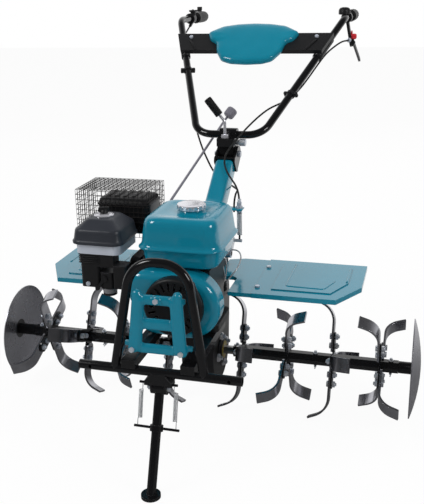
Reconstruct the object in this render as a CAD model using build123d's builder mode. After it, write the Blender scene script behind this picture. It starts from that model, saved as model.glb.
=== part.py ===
from build123d import *
import os
from math import atan2, cos, degrees, hypot, radians, sin, tan

# A petrol tiller with a four-stroke engine, clutch, gear case and a tine rotor on each side.
# All sizes are millimetres. The design frame stands on the ground under the middle of the tine
# axle: +X to the operator's left, +Y to the rear where the operator walks, +Z up.

# Tine rotor
TINE_REACH = 180.0
TINE_WIDTH = 42.0
TINE_THICK = 6.0
TINE_ROOT = 25.0
TINE_BEND_R = 54.0
TINE_BEND = 68.0
TINE_TIP = 24.0
TINE_COUNT = 4
TINE_PHASE = 22.5
SET_FIRST = 121.0
SET_PITCH = 139.5
FLANGE_R = 86.0
FLANGE_THICK = 5.0
TINE_BOLT_RADII = (44.0, 72.0)
BOLT_R = 5.0
BOLT_AF = 16.0
BOLT_HEAD = 6.5
NUT_HEIGHT = 8.0
BOLT_TAIL = 4.0
HUB_AF = 34.0
HUB_START = 91.0
HUB_SPLIT = 368.0
HUB_END = 592.0
SPIGOT_LENGTH = 62.0
DISC_X = 632.0
DISC_R = 147.0
DISC_DEPTH = 24.0
DISC_SHEET = 3.0
DISC_HUB_R = 18.0
PIN_R = 4.0
PIN_SETBACK = 22.0
CLIP_WIRE = 1.6
SHAFT_AF = 23.0
SHAFT_END = 152.0

# Gear case and its train
CASE_HALF = 50.0
CASE_WALL = 6.0
GEAR_ROOM = 5.0
BEARING_WIDTH = 12.0
SHAFT_R = 15.0
LAY_R = 12.5
BEARING_RING = 16.0
COUNTER_Y = 45.0
CRANK_Z = 438.0
PINION_TEETH = 22
IDLER_TEETH = 36
OUTPUT_TEETH = 42
GEAR_WIDTH = 11.0
BEVEL_MODULE = 3.0
BEVEL_PINION_TEETH = 14
BEVEL_GEAR_TEETH = 28
BEVEL_FACE = 0.32
SEAL_R = 27.0
SEAL_LENGTH = 11.0
NECK_R = 44.0

# Engine
ENGINE_BASE_Z = 340.0
CRANKCASE_FRONT = -240.0
CRANKCASE_BACK = -92.0
CRANKCASE_HALF = 104.0
CRANKCASE_RIGHT = 84.0
CRANKCASE_FOOT = 20.0
CRANKCASE_TOP = 522.0
CYLINDER_TILT = 22.0
BORE_R = 35.0
SHROUD_FRONT = -302.0
SHROUD_SHEET = 2.5
RECOIL_R = 84.0
RECOIL_FRONT = -322.0
FAN_R = 82.0
CLUTCH_R = 62.0
BELL_R = 74.0
TANK_X = 4.0
TANK_HALF = 112.0
TANK_FRONT = -276.0
TANK_BACK = -36.0
TANK_SEAM_Z = 587.0
TANK_TOP_Z = 668.0
TANK_BOTTOM_Z = 534.0
TANK_SHEET = 2.0
CAP_R = 41.0
AIR_X = -239.0
AIR_HALF = 70.0
AIR_FRONT = -258.0
AIR_BACK = -104.0
AIR_SEAM_Z = 582.0
AIR_TOP_Z = 648.0
MUFFLER_LOW = (-322.0, -78.0, 566.0)
MUFFLER_HIGH = (-150.0, 46.0, 676.0)
CAGE_LOW = (-368.0, -98.0, 556.0)
CAGE_HIGH = (-140.0, 62.0, 696.0)
CAGE_WIRE = 1.5
CAGE_STEP = 20.0

# Frame, bumper and stand
TUBE_R = 12.5
TUBE_WALL = 2.0
BAR_Y = -445.0
BAR_Z = 309.0
BAR_HALF = 223.0
BAR_HOLE_R = 5.0
BAR_HOLE_X = 190.0
RAIL_X = 81.0
RAIL_WIDTH = 38.0
RAIL_HEIGHT = 24.0
RAIL_BACK = -138.0
HOOP_FOOT = 122.0
HOOP_TOP = 74.0
HOOP_BEND = 76.0
HOOP_Y = -419.0
HOOP_Z = 602.0
STAND_Y = -444.0
STAND_Z = 264.0
FOOT_Y = -548.0
FOOT_R = 26.0
FOOT_THICK = 9.0
LEG_R = 12.5
EAR_GAP = 17.0
SPRING_X = 48.0
SPRING_R = 6.0
SPRING_WIRE = 1.1
SPRING_TURNS = 22.5
SPRING_LEG = 14.0
SPRING_LEAD = 3.5
HOOK_Z = 166.0

# Fenders
FENDER_Z = 432.0
FENDER_SHEET = 2.0
FENDER_FRONT = -157.0
FENDER_BACK = 140.0
FENDER_SEAM = 190.0
FENDER_OUT = 479.0
FENDER_LIP = 12.0

# Handle column, handlebar and controls
COLUMN_HALF = 29.0
COLUMN_SHEET = 3.0
COLUMN_FOOT_Z = 514.0
COLUMN_SHOULDER = (42.0, 598.0)
COLUMN_BEND = (125.0, 626.0)
COLUMN_TOP = (262.0, 726.0)
COLUMN_DEPTH = 62.0
BRACKET_PLATE = 8.0
EAR_THICK = 6.0
EAR_R = 26.0
PIVOT_REACH = 50.0
BASE_BAR_Y = 328.0
BASE_BAR_Z = 793.0
BASE_BAR_HALF = 110.0
GRIP_X = 311.0
GRIP_BEND_Y = 827.0
GRIP_Z = 1135.0
GRIP_END_Y = 1160.0
GRIP_LENGTH = 132.0
GRIP_R = 22.5
PANEL_LOW = 392.0
PANEL_HIGH = 486.0
PANEL_THICK = 16.0
COVER_LOW = 346.0
COVER_HIGH = 528.0
COVER_RISE = 40.0
PERCH_Y = 905.0
LEVER_LEAN = 11.0
LEVER_DROP = 94.0
LEVER_LENGTH = 138.0
LEVER_FALL = 34.0
SHIFT_PIVOT = (34.0, 492.0)
SHIFT_KNEE = (-102.3, -20.0, 642.0)
SHIFT_KNOB = (-36.0, 495.0, 837.0)
CABLE_R = 3.0

# Fasteners of the frame
M8_R = 4.0
M8_AF = 13.0
M8_HEAD = 5.5
M8_NUT = 6.5
M8_BITE = 12.0

# Fits
RUN_FIT = 0.05
SLIDE_FIT = 0.4
AIR_GAP = 0.5

pieces = {}


def keep(name, part):
    part.label = name
    pieces[name] = part


def hex_bolt(radius, flats, head, grip, nut=0.0, tail=0.0):
    """A bolt down -Z with its head seated on z = 0 and, where asked, its nut under the grip."""
    with BuildPart() as bolt:
        with BuildSketch():
            RegularPolygon(flats / 2, 6, major_radius=False)
        extrude(amount=head)
        with BuildSketch():
            Circle(radius)
        extrude(amount=-(grip + nut + tail))
        if nut:
            with BuildSketch(Plane.XY.offset(-grip)):
                RegularPolygon(flats / 2, 6, major_radius=False)
            extrude(amount=-nut)
    return bolt.part


def rod(points, radius, bends, wall=0.0):
    """A round bar or tube along straight runs joined by tangent bends."""
    with BuildPart() as bar:
        with BuildLine() as route:
            FilletPolyline(*points, radius=bends)
        path = route.wires()[0]
        with BuildSketch(Plane(path @ 0, z_dir=path % 0)):
            Circle(radius)
            if wall:
                Circle(radius - wall, mode=Mode.SUBTRACT)
        sweep(path=path)
    return bar.part


def gear_outline(teeth, pitch_r, rise, depth, share, turn):
    """Corners of a spur gear with straight flanks; one tooth stands at the angle turn."""
    flank = tan(radians(20))
    half = share * 180 / teeth
    tip = half - degrees(rise * flank / (pitch_r + rise))
    root = half + degrees(depth * flank / (pitch_r - depth))
    corners = []
    for tooth in range(teeth):
        middle = turn + tooth * 360 / teeth
        for radius, swing in (
            (pitch_r - depth, -root),
            (pitch_r + rise, -tip),
            (pitch_r + rise, tip),
            (pitch_r - depth, root),
        ):
            angle = radians(middle + swing)
            corners.append((radius * cos(angle), radius * sin(angle)))
    return corners


def mesh_turn(turn, teeth, toward, mate_teeth):
    """Angle of a tooth on the mate that lies toward, so that its gap meets this gear's tooth."""
    slip = (toward - turn) % (360 / teeth)
    return toward + 180 + slip * teeth / mate_teeth + 180 / mate_teeth


def bored_ring(outer, inner, length):
    with BuildPart() as ring:
        with BuildSketch():
            Circle(outer)
            Circle(inner, mode=Mode.SUBTRACT)
        extrude(amount=length / 2, both=True)
    return ring.part


# Tine rotor: hex hubs, sickle tines bolted to their flanges, end discs and clip pins
AXLE_Z = TINE_REACH * cos(radians(TINE_PHASE)) + TINE_WIDTH / 2 * sin(radians(TINE_PHASE))
SETS = [SET_FIRST + SET_PITCH * number for number in range(4)]
HUB_BORE_AF = SHAFT_AF + SLIDE_FIT
PIN_HOLE_R = PIN_R + SLIDE_FIT / 2
axle = Plane(origin=(0, 0, AXLE_Z), x_dir=(0, 1, 0), z_dir=(1, 0, 0))


def tine_places():
    """Each tine of one side: the set's x, its turn about the axle and the side that it bends to."""
    for number, x in enumerate(SETS):
        for blade in range(TINE_COUNT):
            fall = TINE_PHASE + blade * 360 / TINE_COUNT + (45 if number % 2 else 0)
            inward = (blade % 2 == 0) != (number == 3)
            yield x, 180 - fall, -1 if inward else 1


bend_outer = TINE_BEND_R + TINE_THICK
bend_start = (
    TINE_REACH - bend_outer * sin(radians(TINE_BEND)) - TINE_TIP * cos(radians(TINE_BEND))
)
with BuildPart() as tine:
    with BuildSketch(Plane.XZ):
        with BuildLine():
            Line((0, bend_start), (0, TINE_ROOT))
            Line((0, TINE_ROOT), (TINE_THICK, TINE_ROOT))
            Line((TINE_THICK, TINE_ROOT), (TINE_THICK, bend_start))
            inside = CenterArc((bend_outer, bend_start), TINE_BEND_R, 180, -TINE_BEND)
            outside = CenterArc((bend_outer, bend_start), bend_outer, 180, -TINE_BEND)
            run = Vector(sin(radians(TINE_BEND)), cos(radians(TINE_BEND))) * TINE_TIP
            inner_tip = inside @ 1 + run
            outer_tip = outside @ 1 + run
            Line(inside @ 1, inner_tip)
            Line(inner_tip, outer_tip)
            Line(outer_tip, outside @ 1)
        make_face()
    extrude(amount=TINE_WIDTH / 2, both=True)
    fillet(tine.edges().filter_by(Axis.X).sort_by(Axis.Z)[:2], TINE_WIDTH / 3)
    with BuildSketch(Plane.YZ):
        with Locations(*[(0, radius) for radius in TINE_BOLT_RADII]):
            Circle(BOLT_R + SLIDE_FIT / 2)
    extrude(amount=TINE_THICK, mode=Mode.SUBTRACT)

tine_spots = []
tine_bolt_spots = []
for x, turn, side in tine_places():
    seat = Location((x + side * FLANGE_THICK / 2, 0, AXLE_Z)) * Rotation(turn, 0, 0)
    tine_spots.append(seat * Rotation(0, 0, 0 if side > 0 else 180))
    for radius in TINE_BOLT_RADII:
        head = seat * Location((side * TINE_THICK, 0, radius))
        tine_bolt_spots.append(head * Rotation(0, side * 90, 0))

with BuildPart() as tine_blades:
    with Locations(*tine_spots):
        add(tine.part)
    mirror(about=Plane.YZ)
keep("tine_blades", tine_blades.part)

tine_bolt = hex_bolt(BOLT_R, BOLT_AF, BOLT_HEAD, TINE_THICK + FLANGE_THICK, NUT_HEIGHT, BOLT_TAIL)
with BuildPart() as tine_bolts:
    with Locations(*tine_bolt_spots):
        add(tine_bolt)
    mirror(about=Plane.YZ)
keep("tine_bolts", tine_bolts.part)


def cross_hole(x):
    """The pin's hole across a hub, shaft or spigot at x."""
    with BuildPart() as hole:
        with BuildSketch(Plane.XY.offset(AXLE_Z)):
            with Locations((x, 0)):
                Circle(PIN_HOLE_R)
        extrude(amount=HUB_AF, both=True)
    return hole.part


def hub_flange(x, phase):
    """The cross-shaped plate that one set of tines is bolted to, round the hub."""
    with BuildPart() as flange:
        with BuildSketch(axle.offset(x - FLANGE_THICK / 2)):
            for arm in range(TINE_COUNT // 2):
                with Locations(Rotation(0, 0, phase + arm * 360 / TINE_COUNT)):
                    SlotCenterToCenter(2 * (FLANGE_R - TINE_WIDTH / 2), TINE_WIDTH)
            RegularPolygon(HUB_BORE_AF / 2, 6, major_radius=False, mode=Mode.SUBTRACT)
            for radius in TINE_BOLT_RADII:
                with PolarLocations(radius, TINE_COUNT, start_angle=phase):
                    Circle(BOLT_R + SLIDE_FIT / 2, mode=Mode.SUBTRACT)
        extrude(amount=FLANGE_THICK)
    return flange.part


flange_phases = [90 - TINE_PHASE, 45 - TINE_PHASE]
with BuildPart() as inner_hubs:
    with BuildSketch(axle.offset(HUB_START)):
        RegularPolygon(HUB_AF / 2, 6, major_radius=False)
        RegularPolygon(HUB_BORE_AF / 2, 6, major_radius=False, mode=Mode.SUBTRACT)
    extrude(amount=HUB_SPLIT - HUB_START)
    for x, phase in zip(SETS[:2], flange_phases):
        add(hub_flange(x, phase))
    add(cross_hole(HUB_START + PIN_SETBACK / 2), mode=Mode.SUBTRACT)
    add(cross_hole(HUB_SPLIT - PIN_SETBACK), mode=Mode.SUBTRACT)
    mirror(about=Plane.YZ)

with BuildPart() as outer_hubs:
    with BuildSketch(axle.offset(HUB_SPLIT + AIR_GAP)):
        RegularPolygon(HUB_AF / 2, 6, major_radius=False)
    extrude(amount=HUB_END - HUB_SPLIT - AIR_GAP)
    with BuildSketch(axle.offset(HUB_SPLIT - SPIGOT_LENGTH)):
        RegularPolygon(SHAFT_AF / 2, 6, major_radius=False)
    extrude(amount=SPIGOT_LENGTH + AIR_GAP)
    with BuildSketch(axle.offset(HUB_END)):
        RegularPolygon(HUB_BORE_AF / 2, 6, major_radius=False)
    extrude(amount=-SPIGOT_LENGTH - AIR_GAP, mode=Mode.SUBTRACT)
    for x, phase in zip(SETS[2:], flange_phases):
        add(hub_flange(x, phase))
    add(cross_hole(HUB_SPLIT - PIN_SETBACK), mode=Mode.SUBTRACT)
    add(cross_hole(HUB_END - PIN_SETBACK), mode=Mode.SUBTRACT)
    mirror(about=Plane.YZ)

with BuildPart() as tine_hubs:
    add(inner_hubs.part)
    add(outer_hubs.part)
keep("tine_hubs", tine_hubs.part)

with BuildPart() as side_discs:
    dish_r = (DISC_R**2 + DISC_DEPTH**2) / (2 * DISC_DEPTH)
    with BuildSketch(Plane(origin=(0, 0, AXLE_Z), x_dir=(1, 0, 0), z_dir=(0, -1, 0))):
        with BuildLine():
            rim = (DISC_X, DISC_R)
            crown = (DISC_X + DISC_DEPTH, 0)
            outer = RadiusArc(rim, crown, dish_r)
            back = (DISC_X + DISC_DEPTH - DISC_SHEET, 0)
            Line(crown, back)
            RadiusArc(back, (DISC_X - DISC_SHEET, DISC_R), -dish_r)
            Line((DISC_X - DISC_SHEET, DISC_R), rim)
        make_face()
    revolve(axis=Axis((0, 0, AXLE_Z), (1, 0, 0)))
    with BuildSketch(axle.offset(HUB_END + AIR_GAP)):
        Circle(DISC_HUB_R)
    extrude(amount=DISC_X + DISC_DEPTH - DISC_SHEET - HUB_END)
    with BuildSketch(axle.offset(HUB_END - SPIGOT_LENGTH)):
        RegularPolygon(SHAFT_AF / 2, 6, major_radius=False)
    extrude(amount=SPIGOT_LENGTH + AIR_GAP)
    add(cross_hole(HUB_END - PIN_SETBACK), mode=Mode.SUBTRACT)
    mirror(about=Plane.YZ)
keep("side_discs", side_discs.part)

pin_half = HUB_AF / 2 + 9
with BuildPart() as clip_pin:
    with BuildSketch():
        Circle(PIN_R)
    extrude(amount=pin_half, both=True)
    with BuildSketch(Plane.XY.offset(HUB_AF / 2 + AIR_GAP)):
        Circle(PIN_R * 1.8)
    extrude(amount=3)
    with BuildSketch(Plane.XZ):
        with Locations((0, -pin_half + 4)):
            Circle(CLIP_WIRE + SLIDE_FIT / 2)
    extrude(amount=PIN_R, both=True, mode=Mode.SUBTRACT)
clip_y = 26.0
hair_clip = rod(
    [
        (0, -PIN_R - 10, -pin_half + 4),
        (0, clip_y, -pin_half + 4),
        (0, clip_y, -pin_half - 6),
        (0, -PIN_R - 4, -pin_half - 4),
    ],
    CLIP_WIRE,
    [4.0, 4.0],
)
pin_xs = (HUB_START + PIN_SETBACK / 2, HUB_SPLIT - PIN_SETBACK, HUB_END - PIN_SETBACK)
with BuildPart() as hub_pins:
    with Locations(*[(x, 0, AXLE_Z) for x in pin_xs]):
        add(clip_pin.part)
        add(hair_clip)
    mirror(about=Plane.YZ)
keep("hub_pins", hub_pins.part)

# Drive train: bevel pinion on the clutch shaft, lay shaft, idler and the tine shaft's gear
train_run = hypot(COUNTER_Y, CRANK_Z - AXLE_Z)
MODULE = train_run / (PINION_TEETH / 2 + IDLER_TEETH + OUTPUT_TEETH / 2)
train_turn = degrees(atan2(AXLE_Z - CRANK_Z, -COUNTER_Y))
idler_share = MODULE * (PINION_TEETH + IDLER_TEETH) / 2 / train_run
IDLER_Y = COUNTER_Y * (1 - idler_share)
IDLER_Z = CRANK_Z + (AXLE_Z - CRANK_Z) * idler_share
pinion_turn = train_turn
idler_turn = mesh_turn(pinion_turn, PINION_TEETH, train_turn, IDLER_TEETH)
output_turn = mesh_turn(idler_turn, IDLER_TEETH, train_turn, OUTPUT_TEETH)
BEARING_IN = CASE_HALF - 1 - BEARING_WIDTH
SPUR_X = -BEARING_IN + 2
TOOTH_SHARE = 0.42


def cross_plane(y, z, x):
    return Plane(origin=(x, y, z), x_dir=(0, 1, 0), z_dir=(1, 0, 0))


def spur_gear(y, z, teeth, turn):
    """A spur gear in the train's plane."""
    with BuildPart() as gear:
        with BuildSketch(cross_plane(y, z, SPUR_X)):
            with BuildLine():
                outline = gear_outline(
                    teeth, MODULE * teeth / 2, 0.9 * MODULE, 1.2 * MODULE, TOOTH_SHARE, turn
                )
                Polyline(*outline, close=True)
            make_face()
        extrude(amount=GEAR_WIDTH)
    return gear.part


def journal(y, z, radius, start, end):
    """A round length of shaft along X."""
    with BuildPart() as shaft:
        with BuildSketch(cross_plane(y, z, start)):
            Circle(radius)
        extrude(amount=end - start)
    return shaft.part


with BuildPart() as output_shaft:
    add(spur_gear(0, AXLE_Z, OUTPUT_TEETH, output_turn))
    add(journal(0, AXLE_Z, SHAFT_R, -CASE_HALF - SEAL_LENGTH, CASE_HALF + SEAL_LENGTH))
    with BuildSketch(axle.offset(-SHAFT_END)):
        RegularPolygon(SHAFT_AF / 2, 6, major_radius=False)
    extrude(amount=2 * SHAFT_END)
    for side in (-1, 1):
        add(cross_hole(side * (HUB_START + PIN_SETBACK / 2)), mode=Mode.SUBTRACT)
keep("output_shaft", output_shaft.part)

lay_half = BEARING_IN + BEARING_WIDTH - AIR_GAP
with BuildPart() as idler_gear:
    add(spur_gear(IDLER_Y, IDLER_Z, IDLER_TEETH, idler_turn))
    add(journal(IDLER_Y, IDLER_Z, LAY_R, -lay_half, lay_half))
keep("idler_gear", idler_gear.part)

bevel_r1 = BEVEL_MODULE * BEVEL_PINION_TEETH / 2
bevel_r2 = BEVEL_MODULE * BEVEL_GEAR_TEETH / 2
BEVEL_SHARE = 0.36


def bevel_gear(plane, reach, teeth, pitch_r, rise, depth, turn):
    """A straight bevel gear whose pitch cone runs from the plane's origin to reach."""
    outline = gear_outline(teeth, pitch_r, rise, depth, BEVEL_SHARE, turn)
    with BuildPart() as gear:
        for share in (1 - BEVEL_FACE, 1):
            with BuildSketch(plane.offset(reach * share)):
                with BuildLine():
                    Polyline(*[(x * share, y * share) for x, y in outline], close=True)
                make_face()
        loft(ruled=True)
    return gear.part


with BuildPart() as lay_shaft:
    add(spur_gear(COUNTER_Y, CRANK_Z, PINION_TEETH, pinion_turn))
    add(journal(COUNTER_Y, CRANK_Z, LAY_R, -lay_half, lay_half))
    add(
        bevel_gear(
            cross_plane(COUNTER_Y, CRANK_Z, 0),
            bevel_r1,
            BEVEL_GEAR_TEETH,
            bevel_r2,
            0.7 * BEVEL_MODULE,
            1.5 * BEVEL_MODULE,
            180,
        )
    )
    add(journal(COUNTER_Y, CRANK_Z, bevel_r2 * 0.62, bevel_r1, BEARING_IN - AIR_GAP))
keep("lay_shaft", lay_shaft.part)

NECK_FRONT = COUNTER_Y - 86.0
clutch_axis = Plane(origin=(0, COUNTER_Y, CRANK_Z), x_dir=(1, 0, 0), z_dir=(0, -1, 0))
input_bearing_y = NECK_FRONT + BEARING_WIDTH / 2 + 4
CLUTCH_BACK = NECK_FRONT - 6
CLUTCH_FRONT = CRANKCASE_BACK + 14
with BuildPart() as clutch_shaft:
    add(
        bevel_gear(
            clutch_axis,
            bevel_r2,
            BEVEL_PINION_TEETH,
            bevel_r1,
            0.6 * BEVEL_MODULE,
            0.9 * BEVEL_MODULE,
            180 / BEVEL_PINION_TEETH,
        )
    )
    with BuildSketch(clutch_axis.offset(bevel_r2 - 1)):
        Circle(SHAFT_R)
    extrude(amount=COUNTER_Y - CLUTCH_BACK - bevel_r2 + 1)
    with BuildSketch(clutch_axis.offset(COUNTER_Y - CLUTCH_BACK)):
        Circle(CLUTCH_R - 12)
    extrude(amount=4)
    plates = 3
    plate_pitch = (CLUTCH_BACK - CLUTCH_FRONT - 8) / (plates + 1)
    with BuildSketch(clutch_axis.offset(COUNTER_Y - CLUTCH_BACK)):
        Circle(SHAFT_R + 6)
    extrude(amount=CLUTCH_BACK - CLUTCH_FRONT - 10)
    for plate in range(plates):
        with BuildSketch(clutch_axis.offset(COUNTER_Y - CLUTCH_BACK + plate_pitch * (plate + 1))):
            Circle(CLUTCH_R - 8)
        extrude(amount=plate_pitch * 0.4)
keep("clutch_shaft", clutch_shaft.part)

# Gear case: two bolted halves with bearing seats, a neck to the clutch and flat pads
OUTPUT_ROOM = MODULE * (OUTPUT_TEETH / 2 + 0.9) + GEAR_ROOM
IDLER_ROOM = MODULE * (IDLER_TEETH / 2 + 0.9) + GEAR_ROOM
BEVEL_ROOM = max(bevel_r2 + 0.7 * BEVEL_MODULE, MODULE * (PINION_TEETH / 2 + 0.9)) + GEAR_ROOM
CASE_TOP = COLUMN_FOOT_Z
PAD_FRONT = -(OUTPUT_ROOM + CASE_WALL) + 4
train_rooms = [
    (0, AXLE_Z, OUTPUT_ROOM),
    (IDLER_Y, IDLER_Z, IDLER_ROOM),
    (COUNTER_Y, CRANK_Z, BEVEL_ROOM),
]
SEATS = [(0, AXLE_Z, SHAFT_R), (IDLER_Y, IDLER_Z, LAY_R), (COUNTER_Y, CRANK_Z, LAY_R)]
pad_z = (ENGINE_BASE_Z - 2 * RAIL_HEIGHT - 2, ENGINE_BASE_Z - 1)


# Where the frame, fenders, column and hitch are bolted to the case
tongue_bolts = [(side * 22.0, ENGINE_BASE_Z - 30) for side in (-1, 1)]
CASE_BOLT_SPOTS = ((14.0, FENDER_Z - 28.0), (64.0, FENDER_Z - 28.0))
FOOT_HALF = CASE_HALF - 4
foot_bolts = [
    (side * (FOOT_HALF - 8), COUNTER_Y + shift) for side in (-1, 1) for shift in (-34, 34)
]
HITCH_FACE = OUTPUT_ROOM + CASE_WALL + 10
HITCH_Z = AXLE_Z + 46
hitch_bolts = [(side * 19.0, HITCH_Z) for side in (-1, 1)]
SHIFT_PIN_R = 8.0
ARM_PIN_R = 7.0
ARM_PIVOT = (70.0, 470.0)
PIN_REACH = 20.0


def case_outline(wall):
    with BuildSketch() as outline:
        for y, z, room in train_rooms:
            with Locations((y, z)):
                Circle(room + wall)
        make_hull()
    return outline.sketch


with BuildPart() as case:
    with BuildSketch(Plane.YZ):
        add(case_outline(CASE_WALL))
    extrude(amount=CASE_HALF, both=True)
    with BuildSketch(Plane.XY.offset(CRANK_Z + LAY_R)):
        with Locations((0, COUNTER_Y)):
            Rectangle(2 * CASE_HALF - 4, 92)
    extrude(amount=CASE_TOP - CRANK_Z - LAY_R)
    with BuildSketch(Plane.XZ.offset(-PAD_FRONT)):
        with Locations((0, sum(pad_z) / 2)):
            Rectangle(2 * CASE_HALF - 8, pad_z[1] - pad_z[0])
    extrude(amount=PAD_FRONT)
    with BuildSketch(clutch_axis.offset(COUNTER_Y - NECK_FRONT)):
        Circle(NECK_R)
    extrude(amount=NECK_FRONT - COUNTER_Y)
    with BuildSketch(Plane.XZ.offset(-OUTPUT_ROOM * 0.6)):
        with Locations((0, AXLE_Z + 46)):
            Rectangle(56, 74)
    extrude(amount=-(HITCH_FACE - OUTPUT_ROOM * 0.6))
    with BuildSketch(Plane.YZ):
        add(case_outline(0))
    extrude(amount=CASE_HALF - CASE_WALL, both=True, mode=Mode.SUBTRACT)
    for y, z, shaft in SEATS:
        with Locations((0, y, z)):
            for side in (-1, 1):
                with BuildSketch(cross_plane(y, z, side * BEARING_IN)):
                    Circle(shaft + BEARING_RING + CASE_WALL)
                extrude(amount=side * (CASE_HALF - CASE_WALL / 2 - BEARING_IN))
                with BuildSketch(cross_plane(y, z, side * BEARING_IN)):
                    Circle(shaft + BEARING_RING)
                extrude(amount=side * BEARING_WIDTH, mode=Mode.SUBTRACT)
    journal_r = SHAFT_R + 1
    with BuildSketch(axle.offset(-CASE_HALF)):
        Circle(journal_r)
    extrude(amount=2 * CASE_HALF, mode=Mode.SUBTRACT)
    with BuildSketch(clutch_axis.offset(bevel_r2 - 1)):
        Circle(SHAFT_R + 3)
    extrude(amount=COUNTER_Y - NECK_FRONT, mode=Mode.SUBTRACT)
    with BuildSketch(clutch_axis.offset(COUNTER_Y - NECK_FRONT)):
        Circle(SHAFT_R + BEARING_RING)
    extrude(amount=-(BEARING_WIDTH + 4), mode=Mode.SUBTRACT)
    with BuildSketch(clutch_axis.offset(bevel_r2 * (1 - BEVEL_FACE) - 4)):
        Circle(bevel_r1 + GEAR_ROOM)
    extrude(amount=bevel_r2 * BEVEL_FACE + 8, mode=Mode.SUBTRACT)
    with BuildSketch(Plane.YZ.offset(-CASE_HALF)):
        with Locations(SHIFT_PIVOT):
            Circle(SHIFT_PIN_R)
    extrude(amount=-PIN_REACH)
    with BuildSketch(Plane.YZ.offset(CASE_HALF)):
        with Locations(ARM_PIVOT):
            Circle(ARM_PIN_R)
    extrude(amount=PIN_REACH)
    bolt_hole_r = M8_R + SLIDE_FIT / 2
    with BuildSketch(Plane.XZ.offset(-PAD_FRONT)):
        with Locations(*tongue_bolts):
            Circle(bolt_hole_r)
    extrude(amount=-M8_BITE, mode=Mode.SUBTRACT)
    with BuildSketch(Plane.XZ.offset(-HITCH_FACE)):
        with Locations(*hitch_bolts):
            Circle(bolt_hole_r)
    extrude(amount=M8_BITE, mode=Mode.SUBTRACT)
    with BuildSketch(Plane.XY.offset(CASE_TOP)):
        with Locations(*foot_bolts):
            Circle(bolt_hole_r)
    extrude(amount=-M8_BITE, mode=Mode.SUBTRACT)
    with BuildSketch(Plane.YZ):
        with Locations(*CASE_BOLT_SPOTS):
            Circle(bolt_hole_r)
    extrude(amount=CASE_HALF, both=True, mode=Mode.SUBTRACT)

RIM_LUG = 12.0
LUG_OUT = CASE_WALL + 10.5
LUG_HALF = 9.0
rim_bolts = [
    (0, AXLE_Z - OUTPUT_ROOM - LUG_OUT),
    (COUNTER_Y + BEVEL_ROOM + LUG_OUT, CRANK_Z),
    (-OUTPUT_ROOM - LUG_OUT, AXLE_Z),
    (OUTPUT_ROOM + LUG_OUT, AXLE_Z - 16),
    (IDLER_Y + IDLER_ROOM + LUG_OUT, IDLER_Z),
]
with BuildPart() as lugs:
    with BuildSketch(Plane.YZ):
        for y, z in rim_bolts:
            with Locations((y, z)):
                Circle(RIM_LUG)
                Circle(BOLT_R + SLIDE_FIT / 2, mode=Mode.SUBTRACT)
        add(case_outline(CASE_WALL - 2), mode=Mode.SUBTRACT)
    extrude(amount=LUG_HALF, both=True)

for name, half in (("gearcase_left", Keep.TOP), ("gearcase_right", Keep.BOTTOM)):
    with BuildPart() as gearcase_half:
        add(case.part)
        add(lugs.part)
        split(bisect_by=Plane.YZ, keep=half)
    keep(name, gearcase_half.part)

with BuildPart() as bearings:
    for y, z, shaft in SEATS:
        ring = bored_ring(shaft + BEARING_RING, shaft + RUN_FIT, BEARING_WIDTH)
        for side in (-1, 1):
            with Locations(cross_plane(y, z, side * (BEARING_IN + BEARING_WIDTH / 2))):
                add(ring)
    with Locations(clutch_axis.offset(COUNTER_Y - input_bearing_y)):
        add(bored_ring(SHAFT_R + BEARING_RING, SHAFT_R + RUN_FIT, BEARING_WIDTH))
keep("bearings", bearings.part)

with BuildPart() as shaft_seals:
    for side in (-1, 1):
        with Locations(axle.offset(side * (CASE_HALF + SEAL_LENGTH / 2))):
            add(bored_ring(SEAL_R, SHAFT_R + RUN_FIT, SEAL_LENGTH))
keep("shaft_seals", shaft_seals.part)

# Engine frame: two rails on the front crossbar, a cross plate and a tongue to the gear case
RAIL_BOTTOM = ENGINE_BASE_Z - RAIL_HEIGHT
PLATE_THICK = 8.0
TONGUE_HALF = CASE_HALF - 10
PLATE_DEPTH = 60.0
ENGINE_BOLT_Y = (CRANKCASE_FRONT + 26, RAIL_BACK - 14)
engine_bolt_spots = [(side * RAIL_X, y) for side in (-1, 1) for y in ENGINE_BOLT_Y]
crossbar_axis = Plane(origin=(0, BAR_Y, BAR_Z), x_dir=(0, 1, 0), z_dir=(1, 0, 0))


def crossbar_rod():
    with BuildPart() as bar:
        with BuildSketch(crossbar_axis):
            Circle(TUBE_R)
        extrude(amount=BAR_HALF, both=True)
    return bar.part


with BuildPart() as engine_frame:
    rail_run = RAIL_BACK - BAR_Y + TUBE_R
    with BuildSketch(Plane.XY.offset(RAIL_BOTTOM)):
        with Locations(*[(side * RAIL_X, RAIL_BACK - rail_run / 2) for side in (-1, 1)]):
            Rectangle(RAIL_WIDTH, rail_run)
    extrude(amount=RAIL_HEIGHT)
    with BuildSketch(Plane.XY.offset(ENGINE_BASE_Z - PLATE_THICK)):
        with Locations((0, RAIL_BACK - PLATE_DEPTH / 2)):
            Rectangle(2 * RAIL_X, PLATE_DEPTH)
        with Locations((0, (RAIL_BACK - PLATE_DEPTH + PAD_FRONT) / 2)):
            Rectangle(2 * TONGUE_HALF, PAD_FRONT - RAIL_BACK + PLATE_DEPTH)
    extrude(amount=PLATE_THICK)
    with BuildSketch(Plane.XZ.offset(-PAD_FRONT)):
        with Locations((0, ENGINE_BASE_Z - RAIL_HEIGHT)):
            Rectangle(2 * TONGUE_HALF, 2 * RAIL_HEIGHT)
        with Locations(*tongue_bolts):
            Circle(M8_R + SLIDE_FIT / 2, mode=Mode.SUBTRACT)
    extrude(amount=PLATE_THICK)
    with BuildSketch(Plane.XY.offset(RAIL_BOTTOM)):
        with Locations(*engine_bolt_spots):
            Circle(M8_R + SLIDE_FIT / 2)
    extrude(amount=RAIL_HEIGHT, mode=Mode.SUBTRACT)
    add(crossbar_rod(), mode=Mode.SUBTRACT)
keep("engine_frame", engine_frame.part)

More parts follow.
